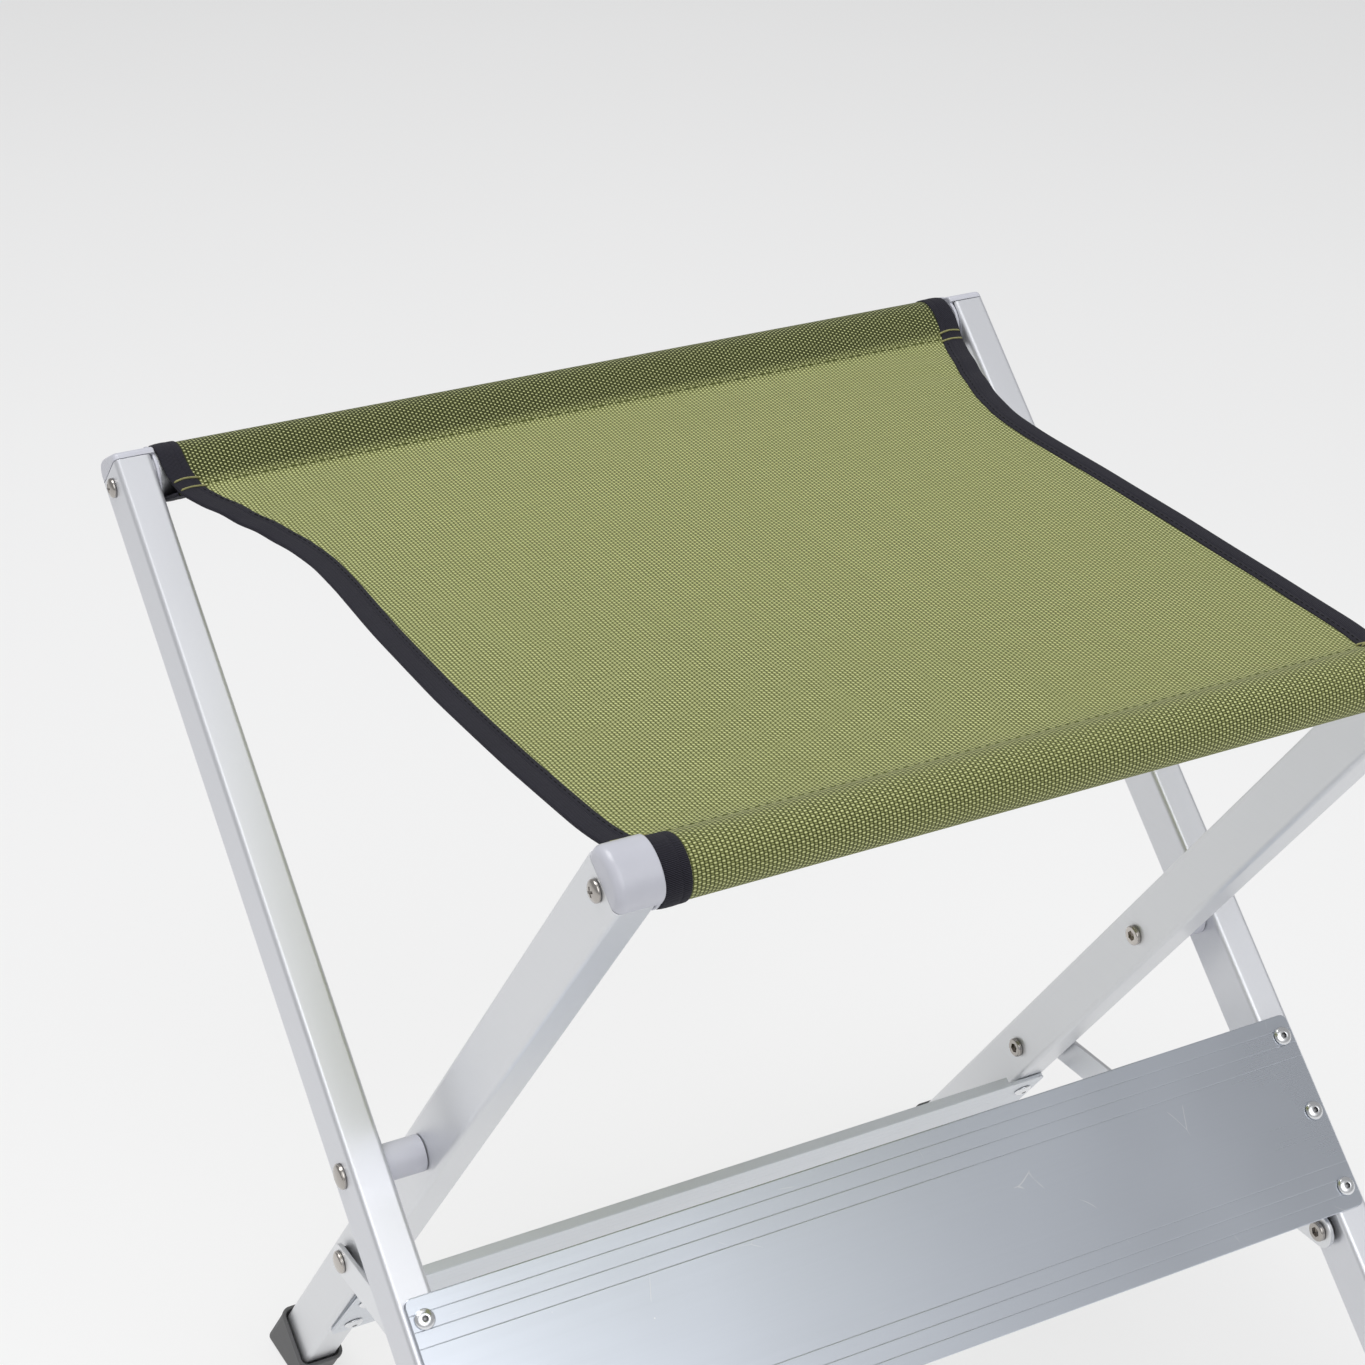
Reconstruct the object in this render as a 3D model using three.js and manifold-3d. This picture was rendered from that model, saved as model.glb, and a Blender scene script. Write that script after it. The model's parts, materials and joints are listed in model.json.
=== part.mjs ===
// Folding camp stool: two rectangular-tube frames crossed on a pivot, a woven
// sling seat between their top rails, two aluminium planks and a pair of
// folding stays. Millimetres, +Z up, +X to the sitter's left-right axis,
// the front of the stool faces -Y. The origin is on the floor, under the
// middle of the footprint.
import * as THREE from "three";
import { mergeVertices } from "three/addons/utils/BufferGeometryUtils.js";
import Module from "manifold-3d";

const wasm = await Module();
wasm.setup();

// ---------------------------------------------------------------- dimensions
const PIVOT_Z = 229; // pivot height above the floor
const PIVOT_Y = 12.788; // puts the footprint's middle at Y = 0
const ALPHA = 47.8; // outer legs, degrees from vertical, tops lean to +Y
const BETA = 35.87; // inner legs, degrees from vertical, tops lean to -Y

const TUBE_T = 16.5; // leg tube, across the stool
const TUBE_D = 25; // leg tube, in the plane of the fold
const TUBE_WALL = 1.5;
const TUBE_R = 2.4; // outer corner radius
const OUTER_X0 = 203.5; // inner face of the outer legs
const OUTER_X1 = OUTER_X0 + TUBE_T; // outer face, 220
const INNER_X0 = 169; // inner face of the inner legs
const INNER_X1 = INNER_X0 + TUBE_T; // outer face, 185.5
const OUTER_TOP = 316; // tube ends, measured along the leg from the pivot
const OUTER_BOTTOM = -316;
const INNER_TOP = 261.3;
const INNER_BOTTOM = -264;
const OUTER_RAIL_S = 311.5; // rail axes, along the leg from the pivot
const INNER_RAIL_S = 258.3;
const OUTER_SCREW_S = 308.8; // cap screws
const INNER_SCREW_S = 255.8;

const RAIL_R = 10.5;
const RAIL_WALL = 1.4;
const GAP = 0.3; // clearance kept between neighbouring pieces

const CAP_BULGE = 11.2; // how far a cap's nose stands past the tube
const CAP_FLANGE = 1.8; // how far it stands past the tube's inner face
const BOOT_WALL = 2.5;
const OUTER_RIM = -307;
const INNER_RIM = -254.8;

const PANEL_T = 2.0;
const FRONT_TOP = -55.8; // front plank, along the outer leg
const FRONT_BOTTOM = -146.1;
const FRONT_HALF = 217.2;
const REAR_TOP = -149.6; // rear plank, along the inner leg
const REAR_BOTTOM = -205.6;
const REAR_HALF = 184.4;
const LIP_HALF = 163.5; // the planks' folded lips stop clear of the inner legs
const LIP_DEPTH = 5.0;
const GROOVES = [6.7, 13.4, 20.1]; // fine lines, from each long edge
const FRONT_RIVETS = [-65.2, -100.7, -136.2];
const FRONT_RIVET_X = 211.2;
const REAR_RIVETS = [-162.4, -192.6];
const REAR_RIVET_X = 176.2;

const STAY_REAR_S = -137; // stay pivot on the inner leg
const STAY_FRONT_S = -149.8; // stay pivot on the outer leg
const STAY_W = 16;
const STAY_T = 2;
const STAY_REAR_X = 187.5; // layers of the two stay bars, right side
const STAY_MID_X = 189.8;
const STAY_FAR_X = 199.0;

const SLEEVE_R = 12.5;
const SLEEVE_RI = RAIL_R + 0.4;
const SEAM_IN = 21; // sleeve seam, in from the rail's axis
const CLOTH_T = 1.6;
const SEAT_SAG = 4;
const TAPE_W = 10.5; // edge binding, visible width

const rad = (d) => (d * Math.PI) / 180;
const dA = [Math.sin(rad(ALPHA)), Math.cos(rad(ALPHA))]; // (y, z) up the outer leg
const nA = [-dA[1], dA[0]];
const dB = [-Math.sin(rad(BETA)), Math.cos(rad(BETA))]; // up the inner leg
const nB = [-dB[1], dB[0]];

// ------------------------------------------------------------------- helpers
function solid(geometry) {
  const g = geometry.index ? geometry.toNonIndexed() : geometry.clone();
  for (const k of Object.keys(g.attributes))
    if (k !== "position") g.deleteAttribute(k);
  const m = mergeVertices(g, 1e-4);
  const make = (tri) =>
    new wasm.Manifold(
      new wasm.Mesh({
        numProp: 3,
        vertProperties: new Float32Array(m.attributes.position.array),
        triVerts: tri,
      }),
    );
  const tri = new Uint32Array(m.index.array);
  let s = make(tri);
  if (s.volume() < 0) {
    for (let i = 0; i < tri.length; i += 3)
      [tri[i + 1], tri[i + 2]] = [tri[i + 2], tri[i + 1]];
    s = make(tri);
  }
  return s;
}
function geometryOf(s) {
  const m = s.getMesh();
  const v = new Float32Array(m.numVert * 3);
  for (let i = 0; i < m.numVert; i++)
    v.set(m.vertProperties.subarray(i * m.numProp, i * m.numProp + 3), i * 3);
  const g = new THREE.BufferGeometry();
  g.setAttribute("position", new THREE.BufferAttribute(v, 3));
  g.setIndex(new THREE.BufferAttribute(new Uint32Array(m.triVerts), 1));
  g.computeVertexNormals();
  return g;
}
const join = (...s) => s.reduce((a, b) => a.add(b));
const cut = (a, ...s) => s.reduce((x, b) => x.subtract(b), a);

const AXES = {
  x: [new THREE.Vector3(0, 1, 0), new THREE.Vector3(0, 0, 1), new THREE.Vector3(1, 0, 0)],
  y: [new THREE.Vector3(0, 0, 1), new THREE.Vector3(1, 0, 0), new THREE.Vector3(0, 1, 0)],
  z: [new THREE.Vector3(1, 0, 0), new THREE.Vector3(0, 1, 0), new THREE.Vector3(0, 0, 1)],
};
// Extrudes an outline along an axis: the outline's two coordinates are
// (y, z) along x, (z, x) along y and (x, y) along z.
function prism(axis, outline, lo, hi, { holes = [], bevel = 0, steps = 2 } = {}) {
  const shape = new THREE.Shape(outline.map((p) => new THREE.Vector2(...p)));
  for (const h of holes)
    shape.holes.push(new THREE.Path(h.map((p) => new THREE.Vector2(...p))));
  const g = new THREE.ExtrudeGeometry(shape, {
    depth: hi - lo - 2 * bevel,
    curveSegments: 12,
    bevelEnabled: bevel > 0,
    bevelThickness: bevel,
    bevelSize: bevel,
    bevelOffset: -bevel,
    bevelSegments: steps,
  });
  g.translate(0, 0, lo + bevel);
  g.applyMatrix4(new THREE.Matrix4().makeBasis(...AXES[axis]));
  return solid(g);
}
function rounded(w, h, r, cx = 0, cy = 0, n = 3) {
  const out = [];
  const c = [
    [w / 2 - r, h / 2 - r, 0],
    [-w / 2 + r, h / 2 - r, 90],
    [-w / 2 + r, -h / 2 + r, 180],
    [w / 2 - r, -h / 2 + r, 270],
  ];
  for (const [x, y, a] of c)
    for (let i = 0; i <= n; i++) {
      const t = rad(a + (90 * i) / n);
      out.push([cx + x + r * Math.cos(t), cy + y + r * Math.sin(t)]);
    }
  return out;
}
function circle(r, cx = 0, cy = 0, n = 16) {
  return Array.from({ length: n }, (_, i) => [
    cx + r * Math.cos((2 * Math.PI * i) / n),
    cy + r * Math.sin((2 * Math.PI * i) / n),
  ]);
}
// A turned piece on an axis parallel to X through (y, z). The profile is
// [x, radius] pairs that start and end on the axis, or close on themselves.
function turned(profile, y = 0, z = 0, n = 16) {
  const g = new THREE.LatheGeometry(
    profile.map(([x, r]) => new THREE.Vector2(r, x)),
    n,
  );
  g.applyMatrix4(new THREE.Matrix4().makeBasis(AXES.x[0], AXES.x[2], AXES.x[1].clone().negate()));
  g.translate(0, y, z);
  return solid(g);
}
const rod = (r, x0, x1, y = 0, z = 0, n = 16) => prism("x", circle(r, y, z, n), x0, x1);

const metal = (c, r = 0.35) => ({ color: c, roughness: r, metalness: 0.9 });
const LOOK = {
  tube: metal(0xc9ccd1, 0.4),
  plank: metal(0xb9bcc6, 0.35),
  steel: metal(0xa8a29b, 0.25),
  rivet: metal(0xd6d8dc, 0.35),
  cap: { color: 0xb4b5ba, roughness: 0.5, metalness: 0 },
  spacer: { color: 0xb0b1b6, roughness: 0.5, metalness: 0 },
  boot: { color: 0x4a4a4b, roughness: 0.8, metalness: 0 },
  cloth: { color: 0x7b8a48, roughness: 0.95, metalness: 0 },
  tape: { color: 0x1d1d22, roughness: 0.9, metalness: 0 },
  washer: { color: 0x2c2c2e, roughness: 0.7, metalness: 0 },
};
function add(group, name, s, look) {
  const mesh = new THREE.Mesh(geometryOf(s), new THREE.MeshStandardMaterial(LOOK[look]));
  mesh.name = name;
  group.add(mesh);
}
// The right-hand piece (+X) is built, and the left-hand one is its mirror image.
function pair(group, base, s, look) {
  add(group, base + "_right", s, look);
  const g = geometryOf(s);
  g.scale(-1, 1, 1);
  const i = g.index.array;
  for (let k = 0; k < i.length; k += 3) [i[k + 1], i[k + 2]] = [i[k + 2], i[k + 1]];
  const mesh = new THREE.Mesh(g, new THREE.MeshStandardMaterial(LOOK[look]));
  mesh.name = base + "_left";
  group.add(mesh);
}

// -------------------------------------------------------------------- groups
const stool = new THREE.Group();
const atPivot = new THREE.Group();
atPivot.position.set(0, PIVOT_Y, PIVOT_Z);
stool.add(atPivot);
const frameA = new THREE.Group(); // outer frame: local y runs up the leg, z to the front
frameA.rotation.x = rad(90 - ALPHA);
const frameB = new THREE.Group(); // inner frame
frameB.rotation.x = rad(90 + BETA);
atPivot.add(frameA, frameB);

// ---------------------------------------------------------------------- legs
const IN_T = TUBE_T - 2 * TUBE_WALL;
const IN_D = TUBE_D - 2 * TUBE_WALL;
function leg(x0, bottom, top, railS, screwS, boltS, rivets, rivetX) {
  const cx = x0 + TUBE_T / 2;
  let s = prism("y", rounded(TUBE_D, TUBE_T, TUBE_R, 0, cx), bottom, top, {
    holes: [rounded(IN_D, IN_T, TUBE_R - TUBE_WALL + 0.3, 0, cx, 2)],
  });
  // the inner wall is notched at the top, where the rail comes in
  const notch = join(
    rod(11.4, x0 - 1, x0 + TUBE_WALL + 0.3, railS, 0, 20),
    prism("x", [[railS, -11.4], [top + 1, -11.4], [top + 1, 11.4], [railS, 11.4]], x0 - 1, x0 + TUBE_WALL + 0.3),
  );
  s = cut(s, notch, rod(3.3, x0 - 1, x0 + TUBE_T + 1), rod(3.0, x0 - 1, x0 + TUBE_T + 1, boltS, 0));
  s = cut(s, rod(1.9, x0 + TUBE_T - 3, x0 + TUBE_T + 1, screwS, 0, 8));
  for (const r of rivets)
    s = cut(s, prism("z", circle(2.3, rivetX, r, 8), TUBE_D / 2 - 3, TUBE_D / 2 + 1));
  return s;
}
pair(frameA, "outer_leg", leg(OUTER_X0, OUTER_BOTTOM, OUTER_TOP, OUTER_RAIL_S, OUTER_SCREW_S, STAY_FRONT_S, FRONT_RIVETS, FRONT_RIVET_X), "tube");
pair(frameB, "inner_leg", leg(INNER_X0, INNER_BOTTOM, INNER_TOP, INNER_RAIL_S, INNER_SCREW_S, STAY_REAR_S, REAR_RIVETS, REAR_RIVET_X), "tube");

// --------------------------------------------------------------------- rails
const rail = (half, s) =>
  cut(rod(RAIL_R, -half, half, s, 0, 24), rod(RAIL_R - RAIL_WALL, -half - 1, half + 1, s, 0, 24));
const OUTER_RAIL_HALF = OUTER_X0 + 8.5;
const INNER_RAIL_HALF = INNER_X0 + 8.5;
add(frameA, "rear_rail", rail(OUTER_RAIL_HALF, OUTER_RAIL_S), "tube");
add(frameB, "front_rail", rail(INNER_RAIL_HALF, INNER_RAIL_S), "tube");

// ---------------------------------------------------------------------- caps
function cap(x0, top, railS, railHalf, screwS) {
  const cx = x0 + TUBE_T / 2;
  const base = top + GAP;
  const nose = [[base, -TUBE_D / 2]];
  nose.push([base, TUBE_D / 2]);
  for (let i = 0; i <= 10; i++) {
    const t = (Math.PI * i) / 10;
    nose.push([base + 1.2 + (CAP_BULGE - 1.2) * Math.sin(t) ** 0.85, (TUBE_D / 2) * Math.cos(t)]);
  }
  let s = prism("x", nose.reverse(), x0 - CAP_FLANGE, x0 + TUBE_T);
  const plug = prism("y", rounded(IN_D - 0.6, IN_T - 0.6, 1, 0, cx), top - 26, top + 3);
  const collar = rod(12.2, x0 - CAP_FLANGE, x0 - GAP, railS, 0, 20);
  s = join(s, plug, collar);
  return cut(
    s,
    rod(RAIL_R + GAP, x0 - CAP_FLANGE - 1, railHalf + GAP, railS, 0, 20),
    rod(1.75, x0 + TUBE_T - 4.5, x0 + TUBE_T + 1, screwS, 0, 8),
  );
}
pair(frameA, "outer_cap", cap(OUTER_X0, OUTER_TOP, OUTER_RAIL_S, OUTER_RAIL_HALF, OUTER_SCREW_S), "cap");
pair(frameB, "inner_cap", cap(INNER_X0, INNER_TOP, INNER_RAIL_S, INNER_RAIL_HALF, INNER_SCREW_S), "cap");

// cap screws: domed head with a cross recess, short shank through the tube wall
function capScrew(x1, s) {
  const h = x1 + GAP;
  const body = turned(
    [[h - 4.3, 0], [h - 4.3, 1.3], [h, 1.3], [h, 4.3], [h + 0.9, 4.2], [h + 1.7, 3.2], [h + 2.3, 0]],
    s, 0, 12,
  );
  const slot = (a) => {
    const w = 0.55, l = 2.3, c = Math.cos(a), q = Math.sin(a);
    return prism("x", [[-l, -w], [l, -w], [l, w], [-l, w]].map(([u, v]) => [s + u * c - v * q, u * q + v * c]), h + 1, h + 4);
  };
  return cut(body, slot(0.5), slot(0.5 + Math.PI / 2));
}
pair(frameA, "outer_cap_screw", capScrew(OUTER_X1, OUTER_SCREW_S), "steel");
pair(frameB, "inner_cap_screw", capScrew(INNER_X1, INNER_SCREW_S), "steel");

// --------------------------------------------------------------------- boots
// A boot's rim is square to the leg and its sole is level with the floor.
function boot(x0, rim, bottom, d, n) {
  const cx = x0 + TUBE_T / 2;
  const h = TUBE_D / 2 + BOOT_WALL;
  const floorS = (o) => (-PIVOT_Z - o * n[1]) / d[1];
  const a = [floorS(-h), -h], b = [floorS(h), h];
  const cutCorner = (p, q, k) => [p[0] + (q[0] - p[0]) * k, p[1] + (q[1] - p[1]) * k];
  const low = Math.hypot(a[0] - b[0], a[1] - b[1]);
  const k = 3.5 / low;
  const r1 = [rim, -h], r2 = [rim, h];
  const outline = [
    r1,
    cutCorner(a, r1, 3.5 / Math.abs(a[0] - rim)),
    cutCorner(a, b, k),
    cutCorner(b, a, k),
    cutCorner(b, r2, 3.5 / Math.abs(b[0] - rim)),
    r2,
  ];
  const s = prism("x", outline, cx - TUBE_T / 2 - BOOT_WALL, cx + TUBE_T / 2 + BOOT_WALL, { bevel: 1.6, steps: 2 });
  return cut(
    s,
    prism("y", rounded(TUBE_D + 2 * GAP, TUBE_T + 2 * GAP, TUBE_R + GAP, 0, cx), bottom - GAP, rim + 2),
  );
}
pair(frameA, "outer_boot", boot(OUTER_X0, OUTER_RIM, OUTER_BOTTOM, dA, nA), "boot");
pair(frameB, "inner_boot", boot(INNER_X0, INNER_RIM, INNER_BOTTOM, dB, nB), "boot");

// -------------------------------------------------------------------- planks
function plank(top, bottom, half, rivets, rivetX) {
  const z0 = TUBE_D / 2 + GAP, z1 = z0 + PANEL_T;
  const p = [[bottom, z0], [top, z0], [top, z1]];
  for (const g of GROOVES) p.push([top - g + 0.4, z1], [top - g, z1 - 0.3], [top - g - 0.4, z1]);
  for (const g of [...GROOVES].reverse()) p.push([bottom + g + 0.4, z1], [bottom + g, z1 - 0.3], [bottom + g - 0.4, z1]);
  p.push([bottom, z1]);
  const plate = prism("x", p.reverse(), -half, half).intersect(
    prism("z", rounded(2 * half, top - bottom, 3.5, 0, (top + bottom) / 2), z0 - 10, z1 + 1),
  );
  const lip = (y0, y1) =>
    prism("x", [[y0, z1 - LIP_DEPTH], [y1, z1 - LIP_DEPTH], [y1, z1 - 0.5], [y0, z1 - 0.5]], -LIP_HALF, LIP_HALF);
  let s = join(plate, lip(top - 1.6, top), lip(bottom, bottom + 1.6));
  for (const r of rivets)
    for (const x of [-rivetX, rivetX]) s = cut(s, prism("z", circle(2.3, x, r, 8), z0 - 1, z1 + 1));
  return s;
}
add(frameA, "front_plank", plank(FRONT_TOP, FRONT_BOTTOM, FRONT_HALF, FRONT_RIVETS, FRONT_RIVET_X), "plank");
add(frameB, "rear_plank", plank(REAR_TOP, REAR_BOTTOM, REAR_HALF, REAR_RIVETS, REAR_RIVET_X), "plank");

// pop rivets: domed head with the mandrel's hole, shank and blind-side bulb
function rivet(x, y) {
  const z = TUBE_D / 2 + GAP + PANEL_T + GAP;
  const g = new THREE.LatheGeometry(
    [[0, -6.2], [2.8, -6.0], [2.0, -4.4], [2.0, 0], [4.3, 0], [4.1, 0.8], [2.6, 1.7], [1.2, 1.8], [1.2, 0.9], [0, 0.9]].map((q) => new THREE.Vector2(...q)),
    12,
  );
  g.rotateX(Math.PI / 2);
  g.translate(x, y, z);
  return solid(g);
}
["upper", "middle", "lower"].forEach((w, i) =>
  pair(frameA, "front_rivet_" + w, rivet(FRONT_RIVET_X, FRONT_RIVETS[i]), "rivet"),
);
["upper", "lower"].forEach((w, i) =>
  pair(frameB, "rear_rivet_" + w, rivet(REAR_RIVET_X, REAR_RIVETS[i]), "rivet"),
);

// -------------------------------------------------------------------- pivots
// domed bolt head outside, hex-socket nut head inside
const bolt = (x1, tip, s, r, rh) =>
  turned([[tip, 0], [tip, r], [x1 + GAP, r], [x1 + GAP, rh], [x1 + GAP + 0.8, rh], [x1 + GAP + 1.6, rh - 1], [x1 + GAP + 2.3, rh * 0.45], [x1 + GAP + 2.45, 0]], s, 0);
function nut(x0, s, depth) {
  const body = turned([[x0 - GAP - 2, 0], [x0 - GAP - 2, 4.1], [x0 - GAP - 1.5, 4.6], [x0 - GAP, 4.6], [x0 - GAP, 2.4], [x0 - GAP + depth, 2.4], [x0 - GAP + depth, 0]], s, 0);
  const hex = circle(2.3, s, 0, 6);
  return cut(body, prism("x", hex, x0 - GAP - 4, x0 - GAP - 0.3));
}
pair(frameA, "pivot_bolt", bolt(OUTER_X1, INNER_X0 + 3, 0, 3, 5.4), "steel");
pair(frameA, "pivot_nut", nut(INNER_X0, 0, 2.6), "steel");
pair(frameA, "pivot_spacer", turned([[INNER_X1 + GAP, 3.3], [INNER_X1 + GAP, 7.7], [OUTER_X0 - GAP, 7.7], [OUTER_X0 - GAP, 3.3], [INNER_X1 + GAP, 3.3]], 0, 0, 24), "spacer");

// --------------------------------------------------------------------- stays
const pB = [dB[0] * STAY_REAR_S, dB[1] * STAY_REAR_S];
const pA = [dA[0] * STAY_FRONT_S, dA[1] * STAY_FRONT_S];
const span = Math.hypot(pA[0] - pB[0], pA[1] - pB[1]);
const diff = STAY_REAR_S - STAY_FRONT_S;
const L_REAR = (span - diff) / 2; // the stay is straight when the stool is open,
const L_FRONT = (span + diff) / 2; // and its elbow meets again when the legs are parallel
function barGroup(from, to) {
  const g = new THREE.Group();
  g.position.set(0, from[0], from[1]);
  g.rotation.x = Math.atan2(to[1] - from[1], to[0] - from[0]);
  atPivot.add(g);
  return g;
}
const rearBar = barGroup(pB, pA);
const frontBar = barGroup(pA, pB);
const barOutline = (L) => {
  const o = [], r = STAY_W / 2;
  for (let i = 0; i <= 8; i++) o.push([L + r * Math.sin((Math.PI * i) / 8), -r * Math.cos((Math.PI * i) / 8)]);
  for (let i = 0; i <= 8; i++) o.push([-r * Math.sin((Math.PI * i) / 8), r * Math.cos((Math.PI * i) / 8)]);
  return o;
};
const hole = (r, u) => rod(r, 180, 210, u, 0, 12);
pair(rearBar, "stay_rear", cut(prism("x", barOutline(L_REAR), STAY_REAR_X, STAY_REAR_X + STAY_T), hole(3, 0), hole(2.5, L_REAR)), "tube");
// the front bar is cranked, from the layer beside the rear bar to the outer leg
const u0 = L_FRONT - 30, u1 = L_FRONT - 60;
const crank = prism(
  "z",
  [
    [STAY_FAR_X, -10], [STAY_FAR_X + STAY_T, -10], [STAY_FAR_X + STAY_T, u1], [STAY_MID_X + STAY_T, u0],
    [STAY_MID_X + STAY_T, L_FRONT + 10], [STAY_MID_X, L_FRONT + 10], [STAY_MID_X, u0 - 1], [STAY_FAR_X, u1 - 1],
  ],
  -STAY_W, STAY_W,
);
pair(frontBar, "stay_front", cut(prism("x", barOutline(L_FRONT), STAY_MID_X - 1, STAY_FAR_X + STAY_T + 1).intersect(crank), hole(3, 0), hole(2.5, L_FRONT)), "tube");
pair(frontBar, "stay_rivet", turned([[STAY_MID_X + 0.2, 0], [STAY_MID_X + 0.2, 2.2], [STAY_MID_X + STAY_T + GAP, 2.2], [STAY_MID_X + STAY_T + GAP, 4.5], [STAY_MID_X + STAY_T + GAP + 0.8, 4.2], [STAY_MID_X + STAY_T + GAP + 1.7, 2.2], [STAY_MID_X + STAY_T + GAP + 1.9, 0]], L_FRONT, 0), "steel");
pair(rearBar, "stay_rivet_tail", turned([[STAY_REAR_X - 1.5, 0], [STAY_REAR_X - 1.5, 3.4], [STAY_REAR_X - GAP, 4], [STAY_REAR_X - GAP, 2.2], [STAY_REAR_X + STAY_T - 0.2, 2.2], [STAY_REAR_X + STAY_T - 0.2, 0]], L_REAR, 0), "steel");
// pivots of the stays on the legs
const ring = (x0, x1, ro, ri, s) => turned([[x0, ri], [x0, ro], [x1, ro], [x1, ri], [x0, ri]], s, 0);
pair(frameB, "stay_rear_washer", ring(INNER_X1 + GAP, STAY_REAR_X - GAP, 6, 3, STAY_REAR_S), "washer");
pair(frameB, "stay_rear_bolt", bolt(STAY_REAR_X + STAY_T, INNER_X0 + 3, STAY_REAR_S, 2.7, 5.2), "steel");
pair(frameB, "stay_rear_nut", nut(INNER_X0, STAY_REAR_S, 2.6), "steel");
pair(frameA, "stay_front_washer", ring(STAY_FAR_X + STAY_T + GAP, OUTER_X0 - GAP, 6, 3, STAY_FRONT_S), "washer");
pair(frameA, "stay_front_bolt", bolt(OUTER_X1, STAY_FAR_X + STAY_T - 0.2, STAY_FRONT_S, 2.7, 5.2), "steel");
pair(frameA, "stay_front_nut", nut(STAY_FAR_X, STAY_FRONT_S, 1.7), "steel");

// ---------------------------------------------------------------------- seat
// One sheet with a sleeve round each rail. Its side view is extruded across the
// stool and cut to the seat's plan; the outermost strip on each side is the
// binding.
const rearY = dA[0] * OUTER_RAIL_S, rearZ = dA[1] * OUTER_RAIL_S;
const frontY = dB[0] * INNER_RAIL_S, frontZ = dB[1] * INNER_RAIL_S;
function drop(r, tip, cy, cz, dir) {
  // a circle of radius r with a pointed tail of half-thickness `thin` towards dir
  const t0 = Math.acos(Math.min(1, r / tip));
  const o = [];
  for (let i = 0; i <= 14; i++) {
    const t = t0 + ((2 * Math.PI - 2 * t0) * i) / 14;
    o.push([cy + dir * r * Math.cos(t), cz + dir * r * Math.sin(t)]);
  }
  o.push([cy + dir * tip, cz]);
  return o;
}
const sag = (y) => {
  const t = (y - frontY) / (rearY - frontY);
  return frontZ + (rearZ - frontZ) * t - SEAT_SAG * 4 * t * (1 - t);
};
const sheetTop = [], sheetBottom = [];
for (let i = 0; i <= 8; i++) {
  const y = frontY + SEAM_IN - 3 + ((rearY - frontY - 2 * SEAM_IN + 6) * i) / 8;
  sheetTop.push([y, sag(y) + CLOTH_T / 2]);
  sheetBottom.push([y, sag(y) - CLOTH_T / 2]);
}
const sheet = [...sheetBottom, ...sheetTop.reverse()];
const wide = 215;
let seatBody = join(
  prism("x", sheet, -wide, wide),
  prism("x", drop(SLEEVE_R, SEAM_IN + 2.5, frontY, frontZ, 1), -wide, wide),
  prism("x", drop(SLEEVE_R, SEAM_IN + 2.5, rearY, rearZ, -1), -wide, wide),
);
seatBody = cut(
  seatBody,
  prism("x", drop(SLEEVE_RI, SEAM_IN - 1, frontY, frontZ, 1), -wide - 1, wide + 1),
  prism("x", drop(SLEEVE_RI, SEAM_IN - 1, rearY, rearZ, -1), -wide - 1, wide + 1),
);
// half width of the seat against y, from the front rail to the rear rail
const PLAN = [
  [frontY - 20, 166.6], [frontY + 12, 166.6], [frontY + 22, 170.5], [-112, 173], [-60, 175],
  [0, 176], [60, 175], [100, 173], [125, 173], [145, 175.5], [165, 179], [185, 184.5],
  [203, 192], [rearY - 22, 198], [rearY - 13, 200.8], [rearY + 20, 200.8],
];
function strip(inset, outset) {
  // plan polygon between the seat's edge and a line `inset` inside it
  const outer = PLAN.map(([y, x]) => [x - outset, y]);
  const inner = PLAN.map(([y, x]) => [x - inset, y]).reverse();
  return [...outer, ...inner];
}
const clothPlan = [
  ...PLAN.map(([y, x]) => [x - TAPE_W - GAP, y]),
  ...PLAN.map(([y, x]) => [-(x - TAPE_W - GAP), y]).reverse(),
];
add(atPivot, "seat_cloth", seatBody.intersect(prism("z", clothPlan, 150, 260)), "cloth");
pair(atPivot, "seat_binding", seatBody.intersect(prism("z", strip(TAPE_W, 0), 150, 260)), "tape");

export default stool;
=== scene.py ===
# Folding camp stool: the looks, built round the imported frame. Metres, +Z up, front of the stool faces -Y.
import math

import bmesh
import bpy
import numpy as np
from mathutils import Matrix, Vector
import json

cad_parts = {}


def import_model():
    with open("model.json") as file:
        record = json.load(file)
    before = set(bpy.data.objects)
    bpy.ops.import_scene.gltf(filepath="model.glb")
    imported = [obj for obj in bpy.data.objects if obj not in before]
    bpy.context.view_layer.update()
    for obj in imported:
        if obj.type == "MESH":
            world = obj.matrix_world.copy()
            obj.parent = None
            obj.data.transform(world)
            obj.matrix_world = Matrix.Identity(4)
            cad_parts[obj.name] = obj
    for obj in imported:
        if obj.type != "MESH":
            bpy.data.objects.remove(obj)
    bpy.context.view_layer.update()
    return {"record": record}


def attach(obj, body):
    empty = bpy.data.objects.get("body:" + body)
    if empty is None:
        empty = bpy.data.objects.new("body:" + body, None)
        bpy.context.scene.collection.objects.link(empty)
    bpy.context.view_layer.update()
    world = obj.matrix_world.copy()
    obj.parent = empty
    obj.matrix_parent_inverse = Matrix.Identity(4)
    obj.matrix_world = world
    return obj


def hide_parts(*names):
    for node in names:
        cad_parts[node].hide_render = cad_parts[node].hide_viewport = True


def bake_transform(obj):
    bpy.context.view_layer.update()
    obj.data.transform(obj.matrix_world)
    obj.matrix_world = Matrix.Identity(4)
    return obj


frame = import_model()

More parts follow.
